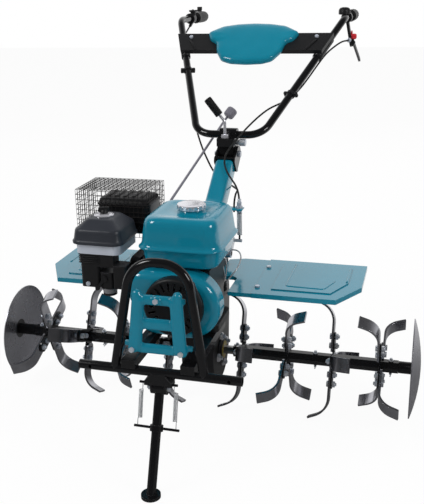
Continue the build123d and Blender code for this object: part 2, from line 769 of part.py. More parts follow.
with BuildPart() as front_crossbar:
    with BuildSketch(crossbar_axis):
        Circle(TUBE_R)
        Circle(TUBE_R - TUBE_WALL, mode=Mode.SUBTRACT)
    extrude(amount=BAR_HALF, both=True)
    with BuildSketch(Plane.XZ.offset(-BAR_Y)):
        with Locations(*[(side * BAR_HOLE_X, BAR_Z) for side in (-1, 1)]):
            Circle(BAR_HOLE_R)
    extrude(amount=TUBE_R, both=True, mode=Mode.SUBTRACT)
keep("front_crossbar", front_crossbar.part)

# Bumper hoop: one bent tube on the crossbar, leaning back, with the slatted guard between its legs
hoop_lean = Vector(0, HOOP_Y - BAR_Y, HOOP_Z - BAR_Z).normalized()
hoop_rise = hypot(HOOP_Y - BAR_Y, HOOP_Z - BAR_Z)
hoop_plane = Plane(
    origin=(0, BAR_Y, BAR_Z), x_dir=(1, 0, 0), z_dir=Vector(1, 0, 0).cross(hoop_lean)
)
hoop_path = [
    hoop_plane.from_local_coords(Vector(x, rise))
    for x, rise in (
        (-HOOP_FOOT, 0),
        (-HOOP_TOP, hoop_rise),
        (HOOP_TOP, hoop_rise),
        (HOOP_FOOT, 0),
    )
]
with BuildPart() as bumper_hoop:
    add(rod(hoop_path, TUBE_R, [HOOP_BEND, HOOP_BEND], TUBE_WALL))
    add(crossbar_rod(), mode=Mode.SUBTRACT)
    with BuildSketch(Plane.XY):
        Rectangle(3 * HOOP_FOOT, -4 * BAR_Y)
    extrude(amount=BAR_Z, mode=Mode.SUBTRACT)
keep("bumper_hoop", bumper_hoop.part)

GUARD_LOW = 52.0
GUARD_HIGH = 222.0
GUARD_LOW_HALF = 80.0
GUARD_HIGH_HALF = 67.0
GUARD_LEG = 34.0
GUARD_THICK = 26.0
GUARD_SHELL = 3.0
GUARD_RUNGS = ((52.0, 80.0), (118.0, 148.0), (184.0, 214.0))


def hoop_leg_x(rise):
    """Inner face of a hoop leg at a height along the hoop's plane."""
    return HOOP_FOOT + (HOOP_TOP - HOOP_FOOT) * rise / hoop_rise - TUBE_R - 4


def guard_post_x(rise):
    """Outer edge of a guard post at a height along the hoop's plane."""
    share = (rise - GUARD_LOW) / (GUARD_HIGH - GUARD_LOW)
    return GUARD_LOW_HALF + (GUARD_HIGH_HALF - GUARD_LOW_HALF) * share


def guard_outline(inset):
    """The guard's two posts and three rungs, with its openings between them."""
    with BuildSketch() as outline:
        for side in (-1, 1):
            with BuildLine():
                low = GUARD_LOW_HALF
                high = GUARD_HIGH_HALF
                Polyline(
                    (side * (low - inset), GUARD_LOW + inset),
                    (side * (high - inset), GUARD_HIGH - inset),
                    (side * (high - GUARD_LEG + inset), GUARD_HIGH - inset),
                    (side * (low - GUARD_LEG + inset), GUARD_LOW + inset),
                    close=True,
                )
            make_face()
        for low_edge, high_edge in GUARD_RUNGS:
            with BuildLine():
                reach = guard_post_x(high_edge) - GUARD_LEG / 2
                Polyline(
                    (-reach, low_edge + inset),
                    (reach, low_edge + inset),
                    (reach, high_edge - inset),
                    (-reach, high_edge - inset),
                    close=True,
                )
            make_face()
    return outline.sketch


GUARD_FACE = TUBE_R + 10
guard_bolts = [(0, 199.0), (-66.0, 64.0), (66.0, 64.0)]
guard_tabs = [(side, rise) for side in (-1, 1) for rise in (GUARD_LOW + 22, GUARD_HIGH - 24)]
with BuildPart() as front_guard:
    with BuildSketch(hoop_plane.offset(GUARD_FACE - GUARD_THICK)):
        add(guard_outline(0))
    extrude(amount=GUARD_THICK)
    with BuildSketch(hoop_plane.offset(GUARD_FACE - GUARD_THICK)):
        add(guard_outline(GUARD_SHELL))
    extrude(amount=GUARD_THICK - GUARD_SHELL, mode=Mode.SUBTRACT)
    with BuildSketch(hoop_plane.offset(GUARD_FACE - GUARD_THICK)):
        for side, rise in guard_tabs:
            tab_start = guard_post_x(rise) - 6
            tab_end = hoop_leg_x(rise) + 4
            with Locations((side * (tab_start + tab_end) / 2, rise)):
                Rectangle(tab_end - tab_start, 16)
    extrude(amount=GUARD_SHELL + 6)
    with BuildSketch(hoop_plane.offset(GUARD_FACE)):
        with Locations(*guard_bolts):
            Circle(M8_R + SLIDE_FIT / 2)
    extrude(amount=-GUARD_SHELL, mode=Mode.SUBTRACT)
    add(bumper_hoop.part, mode=Mode.SUBTRACT)
keep("front_guard", front_guard.part)

# Front stand: bracket under the crossbar, hinged leg with a round foot, two return springs
EAR_PLATE = 5.0
STAND_PIN_R = 5.0
LEG_HEAD_R = 17.0
BRACKET_HALF = SPRING_X - SPRING_R - 4
leg_fall = Vector(0, FOOT_Y - STAND_Y, -STAND_Z).normalized()
hook_share = (STAND_Z - HOOK_Z) / STAND_Z
collar_y = STAND_Y + (FOOT_Y - STAND_Y) * hook_share
HANGER_Y = STAND_Y - 8
HANGER_Z = BAR_Z - 26
HOOK_R = 3.5
with BuildPart() as stand_bracket:
    with BuildSketch(Plane.XZ.offset(-BAR_Y + TUBE_R + 2)):
        with BuildLine():
            Polyline(
                (-BRACKET_HALF, HANGER_Z - 8),
                (BRACKET_HALF, HANGER_Z - 8),
                (BRACKET_HALF, HANGER_Z + 4),
                (BRACKET_HALF - 20, BAR_Z),
                (20 - BRACKET_HALF, BAR_Z),
                (-BRACKET_HALF, HANGER_Z + 4),
                close=True,
            )
        make_face()
    extrude(amount=-(TUBE_R + 16))
    with BuildSketch(Plane.YZ.offset(EAR_GAP)):
        with Locations((STAND_Y, STAND_Z)):
            Circle(LEG_HEAD_R)
        with Locations((STAND_Y, (STAND_Z + HANGER_Z) / 2)):
            Rectangle(2 * LEG_HEAD_R, HANGER_Z - STAND_Z)
    extrude(amount=EAR_PLATE)
    mirror(about=Plane.YZ)
    with BuildSketch(Plane.YZ):
        with Locations((STAND_Y, STAND_Z)):
            Circle(LEG_HEAD_R + 3)
    extrude(amount=EAR_GAP, both=True, mode=Mode.SUBTRACT)
    with BuildSketch(Plane.YZ):
        with Locations((STAND_Y, STAND_Z)):
            Circle(STAND_PIN_R)
    extrude(amount=2 * EAR_GAP, both=True, mode=Mode.SUBTRACT)
    with BuildSketch(Plane.YZ.offset(BRACKET_HALF)):
        with Locations((HANGER_Y, HANGER_Z - 3)):
            Circle(HOOK_R)
    extrude(amount=14)
    mirror(about=Plane.YZ)
    add(crossbar_rod(), mode=Mode.SUBTRACT)
keep("stand_bracket", stand_bracket.part)

with BuildPart() as stand_leg:
    with BuildSketch(Plane.YZ):
        with Locations((STAND_Y, STAND_Z)):
            Circle(LEG_HEAD_R)
    extrude(amount=EAR_GAP - SLIDE_FIT, both=True)
    with BuildSketch(Plane((0, STAND_Y, STAND_Z), x_dir=(1, 0, 0), z_dir=leg_fall)):
        Circle(LEG_R)
    extrude(amount=1.2 * STAND_Z)
    with BuildSketch(Plane((0, collar_y, HOOK_Z), x_dir=(1, 0, 0), z_dir=leg_fall)):
        Circle(LEG_R + 5)
    extrude(amount=8, both=True)
    with BuildSketch(Plane.YZ):
        with Locations((collar_y, HOOK_Z)):
            Circle(HOOK_R)
    extrude(amount=SPRING_X + 14, both=True)
    with BuildSketch(Plane.YZ):
        with Locations((STAND_Y, STAND_Z)):
            Circle(STAND_PIN_R + RUN_FIT)
    extrude(amount=EAR_GAP, both=True, mode=Mode.SUBTRACT)
    with BuildSketch(Plane.XY.offset(FOOT_THICK)):
        with Locations((0, FOOT_Y)):
            Rectangle(6 * LEG_R, 8 * LEG_R)
    extrude(amount=-STAND_Z, mode=Mode.SUBTRACT)
    with BuildSketch():
        with Locations((0, FOOT_Y)):
            Circle(FOOT_R)
    extrude(amount=FOOT_THICK)
keep("stand_leg", stand_leg.part)


def coil_spring(length):
    """A spring along Z between two hook pins, of one wire: legs, quarter bends and half turns."""
    pitch = (length - 2 * (HOOK_R + SPRING_LEG + SPRING_LEAD)) / SPRING_TURNS
    coil_r = SPRING_R - SPRING_WIRE
    start = HOOK_R + SPRING_LEG
    bend = SPRING_LEAD * (1 - cos(radians(45)))
    rise = SPRING_LEAD * sin(radians(45))

    def coil_point(half_turns):
        angle = radians(180 * half_turns)
        return (
            coil_r * cos(angle),
            SPRING_LEAD + coil_r * sin(angle),
            start + SPRING_LEAD + half_turns * pitch / 2,
        )

    with BuildPart() as spring:
        with BuildLine() as route:
            Line((coil_r, 0, HOOK_R + SLIDE_FIT), (coil_r, 0, start))
            ThreePointArc((coil_r, 0, start), (coil_r, bend, start + rise), coil_point(0))
            halves = int(2 * SPRING_TURNS)
            for half in range(halves):
                ThreePointArc(coil_point(half), coil_point(half + 0.5), coil_point(half + 1))
            top = length - HOOK_R - SPRING_LEG
            ThreePointArc(coil_point(halves), (-coil_r, bend, top - rise), (-coil_r, 0, top))
            Line((-coil_r, 0, top), (-coil_r, 0, length - HOOK_R - SLIDE_FIT))
        path = route.wires()[0]
        with BuildSketch(Plane((coil_r, 0, HOOK_R + SLIDE_FIT), z_dir=(0, 0, 1))):
            Circle(SPRING_WIRE)
        sweep(path=path)
    steps = 16 * halves
    spots = [path @ (step / steps) for step in range(steps + 1)]
    near = min(
        (spots[first] - spots[second]).length
        for first in range(steps)
        for second in range(first + 12, min(first + 40, steps))
    )
    print("spring: least gap between turns", round(near - 2 * SPRING_WIRE, 2), "mm")
    return spring.part


spring_low = Vector(SPRING_X, collar_y, HOOK_Z)
spring_high = Vector(SPRING_X, HANGER_Y, HANGER_Z - 3)
spring_axis = Plane(spring_low, x_dir=(1, 0, 0), z_dir=spring_high - spring_low)
with BuildPart() as stand_springs:
    with Locations(spring_axis):
        add(coil_spring((spring_high - spring_low).length))
    mirror(about=Plane.YZ)
keep("stand_springs", stand_springs.part)


def block(low, high, corner=0.0):
    """A box between two corners, with its upright edges rounded where asked."""
    with BuildPart() as box:
        with BuildSketch(Plane.XY.offset(low[2])):
            with Locations(((low[0] + high[0]) / 2, (low[1] + high[1]) / 2)):
                if corner:
                    RectangleRounded(high[0] - low[0], high[1] - low[1], corner)
                else:
                    Rectangle(high[0] - low[0], high[1] - low[1])
        extrude(amount=high[2] - low[2])
    return box.part


def round_bar(start, direction, radius, length, bore=0.0):
    """A round bar, or a ring where it has a bore, from a point along a direction."""
    with BuildPart() as bar:
        with BuildSketch(Plane(origin=start, z_dir=direction)):
            Circle(radius)
            if bore:
                Circle(bore, mode=Mode.SUBTRACT)
        extrude(amount=length)
    return bar.part


# Engine block: hollow crankcase on the rails, leaning finned cylinder, head
CRANK_R = 16.0
CRANKCASE_SKIN = 10.0
CRANKCASE_CORNER = 16.0
CRANK_BOSS_R = 30.0
CRANK_BOSS = 12.0
CYLINDER_FOOT = 62.0
HEAD_FOOT = 128.0
HEAD_HEIGHT = 30.0
VALVE_COVER = 24.0
FIN_WIDTH = 104.0
FIN_HEIGHT = 94.0
FIN_THICK = 3.0
BARREL_HALF = 41.0
TANK_PAD_X = (50.0, 80.0)
FORWARD = (0, -1, 0)
crank_y = (CRANKCASE_FRONT + CRANKCASE_BACK) / 2
lean = radians(CYLINDER_TILT)
cylinder_axis = Plane((0, crank_y, CRANK_Z), x_dir=(0, 1, 0), z_dir=(-cos(lean), 0, sin(lean)))


def cylinder_plate(start, thick, width, height, corner):
    """A rounded plate square to the cylinder, start away from the crank."""
    with BuildPart() as plate:
        with BuildSketch(cylinder_axis.offset(start)):
            RectangleRounded(width, height, corner)
        extrude(amount=thick)
    return plate.part


with BuildPart() as crankcase:
    add(
        block(
            (-CRANKCASE_HALF, CRANKCASE_FRONT, ENGINE_BASE_Z),
            (CRANKCASE_HALF, CRANKCASE_BACK, CRANKCASE_TOP),
            CRANKCASE_CORNER,
        )
    )
    add(
        block(
            (
                CRANKCASE_SKIN - CRANKCASE_HALF,
                CRANKCASE_FRONT + CRANKCASE_SKIN,
                ENGINE_BASE_Z + CRANKCASE_SKIN,
            ),
            (
                CRANKCASE_RIGHT - CRANKCASE_SKIN,
                CRANKCASE_BACK - CRANKCASE_SKIN,
                CRANKCASE_TOP - CRANKCASE_SKIN,
            ),
        ),
        mode=Mode.SUBTRACT,
    )
    add(
        block(
            (CRANKCASE_RIGHT, CRANKCASE_FRONT - 1, ENGINE_BASE_Z + CRANKCASE_FOOT),
            (CRANKCASE_HALF + 1, CRANKCASE_BACK + 1, CRANKCASE_TOP + 1),
        ),
        mode=Mode.SUBTRACT,
    )
    add(
        cylinder_plate(
            CYLINDER_FOOT, HEAD_FOOT - CYLINDER_FOOT, 2 * BARREL_HALF, 2 * BARREL_HALF, 12
        )
    )
    for fin in range(3):
        add(cylinder_plate(HEAD_FOOT - 6 - 8 * fin, FIN_THICK, FIN_WIDTH, FIN_HEIGHT, 10))
    with BuildSketch(cylinder_axis.offset(CYLINDER_FOOT)):
        Circle(BORE_R)
    extrude(amount=HEAD_FOOT - CYLINDER_FOOT, mode=Mode.SUBTRACT)
    for boss_y in (CRANKCASE_FRONT + CRANKCASE_SKIN + CRANK_BOSS, CRANKCASE_BACK - CRANKCASE_SKIN):
        add(round_bar((0, boss_y, CRANK_Z), FORWARD, CRANK_BOSS_R, CRANK_BOSS))
    add(
        round_bar(
            (0, CRANKCASE_BACK + 1, CRANK_Z),
            FORWARD,
            CRANK_R + RUN_FIT,
            CRANKCASE_BACK - CRANKCASE_FRONT + 14,
        ),
        mode=Mode.SUBTRACT,
    )
    for side in (-1, 1):
        low_x, high_x = sorted(side * x for x in TANK_PAD_X)
        add(
            block(
                (low_x, CRANKCASE_FRONT + 20, CRANKCASE_TOP - 1),
                (high_x, CRANKCASE_BACK - 20, TANK_BOTTOM_Z),
            )
        )
    with BuildSketch(Plane.XY.offset(ENGINE_BASE_Z)):
        with Locations(*engine_bolt_spots):
            Circle(M8_R + SLIDE_FIT / 2)
    extrude(amount=CRANKCASE_SKIN, mode=Mode.SUBTRACT)
keep("crankcase", crankcase.part)

with BuildPart() as cylinder_head:
    add(cylinder_plate(HEAD_FOOT, HEAD_HEIGHT, 2 * BARREL_HALF, 2 * BARREL_HALF, 12))
    for fin in range(4):
        add(cylinder_plate(HEAD_FOOT + 8 * fin, FIN_THICK, FIN_WIDTH, FIN_HEIGHT, 10))
    add(cylinder_plate(HEAD_FOOT + HEAD_HEIGHT, VALVE_COVER, 80, 72, 14))
    fillet(cylinder_head.faces().sort_by(Axis(cylinder_axis.origin, cylinder_axis.z_dir))[-1].edges(), 8)
    with BuildSketch(cylinder_axis.offset(HEAD_FOOT)):
        Circle(BORE_R - 4)
    extrude(amount=6, mode=Mode.SUBTRACT)
keep("cylinder_head", cylinder_head.part)

# Crankshaft with its webs, the fan wheel in front and the clutch drum behind
WEB_R = 46.0
WEB_THICK = 12.0
CRANK_PIN_R = 13.0
CRANK_THROW = 26.0
FAN_FRONT = SHROUD_FRONT + 14
FAN_BACK = CRANKCASE_FRONT - 12
FAN_BLADES = 18
crank_end = CLUTCH_FRONT + 6
with BuildPart() as crankshaft:
    for start, length in (
        (crank_end, crank_end - crank_y - CRANK_PIN_R),
        (crank_y - CRANK_PIN_R, crank_y - CRANK_PIN_R - FAN_FRONT + 4),
    ):
        add(round_bar((0, start, CRANK_Z), FORWARD, CRANK_R, length))
    for web in (crank_y + CRANK_PIN_R + WEB_THICK, crank_y - CRANK_PIN_R):
        add(round_bar((0, web, CRANK_Z), FORWARD, WEB_R, WEB_THICK))
    add(
        round_bar(
            (-CRANK_THROW, crank_y + CRANK_PIN_R + 1, CRANK_Z),
            FORWARD,
            CRANK_PIN_R,
            2 * CRANK_PIN_R + 2,
        )
    )
keep("crankshaft", crankshaft.part)

with BuildPart() as flywheel_fan:
    add(round_bar((0, FAN_BACK, CRANK_Z), FORWARD, FAN_R - 8, 9))
    add(round_bar((0, FAN_BACK, CRANK_Z), FORWARD, 2 * CRANK_R, FAN_BACK - FAN_FRONT))
    with BuildSketch(Plane((0, FAN_BACK - 8, CRANK_Z), x_dir=(1, 0, 0), z_dir=FORWARD)):
        with PolarLocations((FAN_R + 50) / 2, FAN_BLADES):
            Rectangle(FAN_R - 50, 3)
    extrude(amount=22)
    add(
        round_bar((0, FAN_BACK, CRANK_Z), FORWARD, CRANK_R + SLIDE_FIT / 4, 60),
        mode=Mode.SUBTRACT,
    )
keep("flywheel_fan", flywheel_fan.part)

DRUM_WALL = 5.0
DRUM_BACK = CLUTCH_BACK - 5
with BuildPart() as clutch_drum:
    add(round_bar((0, CLUTCH_FRONT + DRUM_WALL, CRANK_Z), FORWARD, CLUTCH_R, DRUM_WALL))
    add(
        round_bar(
            (0, DRUM_BACK, CRANK_Z),
            FORWARD,
            CLUTCH_R,
            DRUM_BACK - CLUTCH_FRONT,
            CLUTCH_R - DRUM_WALL,
        )
    )
    for plate in range(plates - 1):
        ring_y = CLUTCH_BACK - plate_pitch * (plate + 1.7) + 0.75
        add(round_bar((0, ring_y, CRANK_Z), FORWARD, CLUTCH_R - 1, 1.5, SHAFT_R + 14))
    add(
        round_bar((0, CLUTCH_BACK, CRANK_Z), FORWARD, CRANK_R + SLIDE_FIT / 4, 60),
        mode=Mode.SUBTRACT,
    )
keep("clutch_drum", clutch_drum.part)

BELL_WALL = 4.0
BELL_FLANGE = 10.0
with BuildPart() as clutch_housing:
    add(
        round_bar(
            (0, NECK_FRONT, CRANK_Z), FORWARD, BELL_R, NECK_FRONT - CRANKCASE_BACK, CLUTCH_R + 4
        )
    )
    add(round_bar((0, NECK_FRONT, CRANK_Z), FORWARD, BELL_R, BELL_WALL, SHAFT_R + 3))
    add(case.part, mode=Mode.SUBTRACT)
    add(
        round_bar(
            (0, CRANKCASE_BACK + 8, CRANK_Z), FORWARD, BELL_R + BELL_FLANGE, 8, CLUTCH_R + 4
        )
    )
keep("clutch_housing", clutch_housing.part)

# Fan shroud, recoil cover and pull handle
SHROUD_CORNERS = ((-94.0, 40.0, 50.0), (29.0, -6.0, 95.0), (-60.0, -40.0, 56.0))
SHROUD_ROUND = 24.0


def shroud_shell(inset):
    """The shroud's outer form drawn in by inset, open towards the engine."""
    with BuildPart() as shell:
        with BuildSketch(Plane((0, CRANKCASE_FRONT, CRANK_Z), x_dir=(1, 0, 0), z_dir=FORWARD)):
            for x, rise, radius in SHROUD_CORNERS:
                with Locations((x, rise)):
                    Circle(radius - inset)
            make_hull()
        extrude(amount=CRANKCASE_FRONT - SHROUD_FRONT - inset)
        fillet(shell.faces().sort_by(Axis.Y)[0].edges(), SHROUD_ROUND - inset)
    return shell.part


with BuildPart() as fan_shroud:
    add(shroud_shell(0))
    add(shroud_shell(SHROUD_SHEET), mode=Mode.SUBTRACT)
    add(
        round_bar((0, CRANKCASE_FRONT - 20, CRANK_Z), FORWARD, RECOIL_R, 60),
        mode=Mode.SUBTRACT,
    )
keep("fan_shroud", fan_shroud.part)

RECOIL_BACK = SHROUD_FRONT + 8
RECOIL_SLOTS = 22
PULL_DIRECTION = Vector(0.94, 0, 0.34).normalized()
PULL_EYE = Vector(38, RECOIL_FRONT - 12, CRANK_Z + 40)
recoil_face = Plane((0, RECOIL_FRONT, CRANK_Z), x_dir=(1, 0, 0), z_dir=FORWARD)
with BuildPart() as recoil_cover:
    add(
        round_bar(
            (0, RECOIL_BACK, CRANK_Z), FORWARD, RECOIL_R - SLIDE_FIT, RECOIL_BACK - RECOIL_FRONT
        )
    )
    fillet(recoil_cover.faces().sort_by(Axis.Y)[0].edges(), 9)
    add(
        round_bar(
            (0, RECOIL_BACK, CRANK_Z),
            FORWARD,
            RECOIL_R - 4,
            RECOIL_BACK - RECOIL_FRONT - 3,
        ),
        mode=Mode.SUBTRACT,
    )
    with BuildSketch(recoil_face):
        with PolarLocations((RECOIL_R + 44) / 2 - 4, RECOIL_SLOTS):
            SlotOverall(RECOIL_R - 60, 6)
    extrude(amount=-5, mode=Mode.SUBTRACT)
    add(round_bar(PULL_EYE + Vector(0, 12, 0), FORWARD, 13, 24))
    add(round_bar(PULL_EYE - PULL_DIRECTION * 20, PULL_DIRECTION, 4, 40), mode=Mode.SUBTRACT)
keep("recoil_cover", recoil_cover.part)

with BuildPart() as starter_handle:
    pull_start = PULL_EYE + PULL_DIRECTION * (13 + AIR_GAP)
    add(round_bar(pull_start, PULL_DIRECTION, 7, 14))
    cross = Vector(-PULL_DIRECTION.Z, 0, PULL_DIRECTION.X)
    add(round_bar(pull_start + PULL_DIRECTION * 20 - cross * 32, cross, 10, 64))
    add(round_bar(pull_start - PULL_DIRECTION * 10, PULL_DIRECTION, 3, 12))
keep("starter_handle", starter_handle.part)

# Fuel tank of two pressed shells joined at a seam flange, with its screw cap
TANK_CORNER = 36.0
TANK_FLANGE = 7.0
TANK_DRAFT = 9.0
NECK_TUBE_R = 36.0
NECK_TUBE = 16.0
CAP_SPOT = (TANK_X + 8.0, (TANK_FRONT + TANK_BACK) / 2)
CAP_RISE = 5.0
CAP_HEIGHT = 15.0
CAP_RIBS = 24
tank_middle = (TANK_X, (TANK_FRONT + TANK_BACK) / 2)


def tank_shell(inset):
    """Both halves of the tank's form drawn in by inset."""
    with BuildPart() as shell:
        for rise, draft in (
            (TANK_TOP_Z - TANK_SEAM_Z - inset, TANK_DRAFT),
            (TANK_BOTTOM_Z - TANK_SEAM_Z + inset, TANK_DRAFT),
        ):
            with BuildSketch(Plane.XY.offset(TANK_SEAM_Z)):
                with Locations(tank_middle):
                    RectangleRounded(
                        2 * (TANK_HALF - inset), TANK_BACK - TANK_FRONT - 2 * inset, TANK_CORNER - inset
                    )
            extrude(amount=rise, taper=draft)
        fillet(shell.faces().sort_by(Axis.Z)[-1].edges(), 18 - inset)
    return shell.part


with BuildPart() as fuel_tank:
    add(tank_shell(0))
    with BuildSketch(Plane.XY.offset(TANK_SEAM_Z - TANK_SHEET)):
        with Locations(tank_middle):
            RectangleRounded(
                2 * (TANK_HALF + TANK_FLANGE),
                TANK_BACK - TANK_FRONT + 2 * TANK_FLANGE,
                TANK_CORNER + TANK_FLANGE,
            )
    extrude(amount=2 * TANK_SHEET)
    with BuildSketch(Plane.XY.offset(TANK_TOP_Z - TANK_SHEET)):
        with Locations(CAP_SPOT):
            Circle(NECK_TUBE_R)
    extrude(amount=NECK_TUBE + TANK_SHEET)
    add(tank_shell(TANK_SHEET), mode=Mode.SUBTRACT)
    with BuildSketch(Plane.XY.offset(TANK_TOP_Z - 2 * TANK_SHEET)):
        with Locations(CAP_SPOT):
            Circle(NECK_TUBE_R - TANK_SHEET)
    extrude(amount=NECK_TUBE + 3 * TANK_SHEET, mode=Mode.SUBTRACT)
keep("fuel_tank", fuel_tank.part)

with BuildPart() as fuel_cap:
    with BuildSketch(Plane.XY.offset(TANK_TOP_Z + CAP_RISE)):
        with Locations(CAP_SPOT):
            Circle(CAP_R)
            with PolarLocations(CAP_R, CAP_RIBS):
                Circle(2.2, mode=Mode.SUBTRACT)
    extrude(amount=CAP_HEIGHT)
    chamfer(fuel_cap.faces().sort_by(Axis.Z)[-1].edges().sort_by(SortBy.LENGTH)[-1], 0.5)
    with BuildSketch(Plane.XY.offset(TANK_TOP_Z)):
        with Locations(CAP_SPOT):
            Circle(NECK_TUBE_R + SLIDE_FIT)
    extrude(amount=NECK_TUBE + SLIDE_FIT, mode=Mode.SUBTRACT)
keep("fuel_cap", fuel_cap.part)

# Carburettor with its float bowl, choke lever and intake pipe
CARB_LOW = (-236.0, -252.0, 450.0)
CARB_HIGH = (-196.0, -206.0, 498.0)
BOWL_R = 20.0
BOWL_DROP = 24.0
INTAKE_R = 10.0
INSULATOR = (40.0, 48.0, 68.0)
INSULATOR_START = 6.0
MANIFOLD_BACK = crank_y - FIN_WIDTH / 2
carb_x = (CARB_LOW[0] + CARB_HIGH[0]) / 2
carb_y = (CARB_LOW[1] + CARB_HIGH[1]) / 2
head_middle = cylinder_axis.from_local_coords(Vector(0, 0, HEAD_FOOT + HEAD_HEIGHT / 2))
insulator_x = CARB_HIGH[0] + INSULATOR_START
insulator_back = MANIFOLD_BACK - AIR_GAP
with BuildPart() as carburettor:
    add(block(CARB_LOW, CARB_HIGH, 8))
    add(round_bar((carb_x, carb_y, CARB_LOW[2] + 1), (0, 0, -1), BOWL_R, BOWL_DROP))
    add(round_bar((CARB_HIGH[0] - 1, carb_y, head_middle.Z), (1, 0, 0), INTAKE_R, 60))
    add(
        block(
            (insulator_x, insulator_back - INSULATOR[1], head_middle.Z - INSULATOR[2] / 2),
            (insulator_x + INSULATOR[0], insulator_back, head_middle.Z + INSULATOR[2] / 2),
            6,
        )
    )
    add(
        block(
            (head_middle.X - 20, carb_y - INTAKE_R, head_middle.Z - 16),
            (head_middle.X + 14, MANIFOLD_BACK, head_middle.Z + 16),
        )
    )
keep("carburettor", carburettor.part)

CHOKE_R = 9.0
choke_spot = Vector(carb_x - 6, CARB_LOW[1] - SLIDE_FIT, CARB_HIGH[2] - 18)
with BuildPart() as choke_lever:
    add(round_bar(choke_spot, FORWARD, CHOKE_R, 4))
    with BuildSketch(Plane(choke_spot, x_dir=(-0.6, 0, -0.8), z_dir=FORWARD)):
        with Locations((18, 0)):
            Rectangle(36, 8)
        with Locations((36, 0)):
            Circle(7)
    extrude(amount=4)
keep("choke_lever", choke_lever.part)

# Air cleaner: black elbow, pale band, dark cover with its wing knob, filter ring inside
ELBOW_LOW = 452.0
BAND_LOW = 552.0
ELBOW_BACK = -165.0
AIR_WALL = 3.0
air_middle = (AIR_X, (AIR_FRONT + AIR_BACK) / 2)
air_depth = AIR_BACK - AIR_FRONT
with BuildPart() as air_cleaner_base:
    add(block((AIR_X - 55, AIR_FRONT + 6, ELBOW_LOW), (CARB_LOW[0] - AIR_GAP, ELBOW_BACK, BAND_LOW), 10))
    add(block((CARB_LOW[0] - 12, AIR_FRONT + 6, 515), (CARB_HIGH[0] + 6, carb_y + 18, BAND_LOW), 4))
    add(
        block(
            (AIR_X - 45, AIR_FRONT + 6 + AIR_WALL, ELBOW_LOW + 10),
            (CARB_LOW[0] - 10, ELBOW_BACK - AIR_WALL, BAND_LOW),
        ),
        mode=Mode.SUBTRACT,
    )
keep("air_cleaner_base", air_cleaner_base.part)


def air_slab(low_z, high_z, inset, draft=0.0):
    """A slab of the air cleaner's rounded plan."""
    with BuildPart() as slab:
        with BuildSketch(Plane.XY.offset(low_z)):
            with Locations(air_middle):
                RectangleRounded(2 * (AIR_HALF - inset), air_depth - 2 * inset, max(24 - inset, 6))
        extrude(amount=high_z - low_z, taper=draft)
    return slab.part


with BuildPart() as air_cleaner_band:
    add(air_slab(BAND_LOW, AIR_SEAM_Z, 3))
    add(air_slab(BAND_LOW + AIR_WALL, AIR_SEAM_Z, 3 + AIR_WALL), mode=Mode.SUBTRACT)
keep("air_cleaner_band", air_cleaner_band.part)

with BuildPart() as air_filter:
    add(air_slab(BAND_LOW + AIR_WALL, AIR_SEAM_Z + 26, 22))
    add(air_slab(BAND_LOW + AIR_WALL, AIR_SEAM_Z + 26, 40), mode=Mode.SUBTRACT)
keep("air_filter", air_filter.part)

COVER_DRAFT = 20.0
with BuildPart() as air_cleaner_cover:
    add(air_slab(AIR_SEAM_Z, AIR_SEAM_Z + 12, 0))
    add(air_slab(AIR_SEAM_Z + 12, AIR_TOP_Z, 2, COVER_DRAFT))
    fillet(air_cleaner_cover.faces().sort_by(Axis.Z)[-1].edges(), 10)
    add(air_slab(AIR_SEAM_Z, AIR_SEAM_Z + 11, AIR_WALL), mode=Mode.SUBTRACT)
    add(air_slab(AIR_SEAM_Z + 10, AIR_TOP_Z - 8, 6, COVER_DRAFT), mode=Mode.SUBTRACT)
    add(round_bar((*air_middle, AIR_TOP_Z - 1), (0, 0, 1), 9, 8))
    add(
        block(
            (AIR_X - 16, air_middle[1] - 4, AIR_TOP_Z + 6),
            (AIR_X + 16, air_middle[1] + 4, AIR_TOP_Z + 17),
            3,
        )
    )
keep("air_cleaner_cover", air_cleaner_cover.part)

# Muffler with its pipe from the head, inside a wire guard
PIPE_R = 13.0
PIPE_BEND = 26.0
MUFFLER_SHEET = 3.0
pipe_x = (MUFFLER_LOW[0] + MUFFLER_HIGH[0]) / 2 + 40
pipe_y = (MUFFLER_LOW[1] + MUFFLER_HIGH[1]) / 2
head_back = crank_y + FIN_WIDTH / 2
with BuildPart() as muffler:
    add(block(MUFFLER_LOW, MUFFLER_HIGH, 40))
    fillet(muffler.faces().group_by(Axis.Z)[-1].edges(), 16)
    add(
        block(
            tuple(corner + MUFFLER_SHEET for corner in MUFFLER_LOW),
            (MUFFLER_HIGH[0] - 20, MUFFLER_HIGH[1] - MUFFLER_SHEET, MUFFLER_HIGH[2] - 20),
            36,
        ),
        mode=Mode.SUBTRACT,
    )
    add(
        rod(
            [
                (head_middle.X, head_back, head_middle.Z),
                (head_middle.X, head_back + 70, head_middle.Z),
                (pipe_x, pipe_y, MUFFLER_LOW[2] - 40),
                (pipe_x, pipe_y, MUFFLER_LOW[2] + 1),
            ],
            PIPE_R,
            [PIPE_BEND, PIPE_BEND],
        )
    )
keep("muffler", muffler.part)


def net(plane, width, height):
    """A flat net of wires about CAGE_STEP apart, centred on the plane."""
    across = max(1, round(width / CAGE_STEP))
    along = max(1, round(height / CAGE_STEP))
    step_x = (width - 2 * CAGE_WIRE) / across
    step_y = (height - 2 * CAGE_WIRE) / along
    with BuildPart() as sheet:
        with BuildSketch(plane):
            Rectangle(width, height)
            with GridLocations(step_x, step_y, across, along):
                Rectangle(step_x - 2 * CAGE_WIRE, step_y - 2 * CAGE_WIRE, mode=Mode.SUBTRACT)
        extrude(amount=2 * CAGE_WIRE)
    return sheet.part


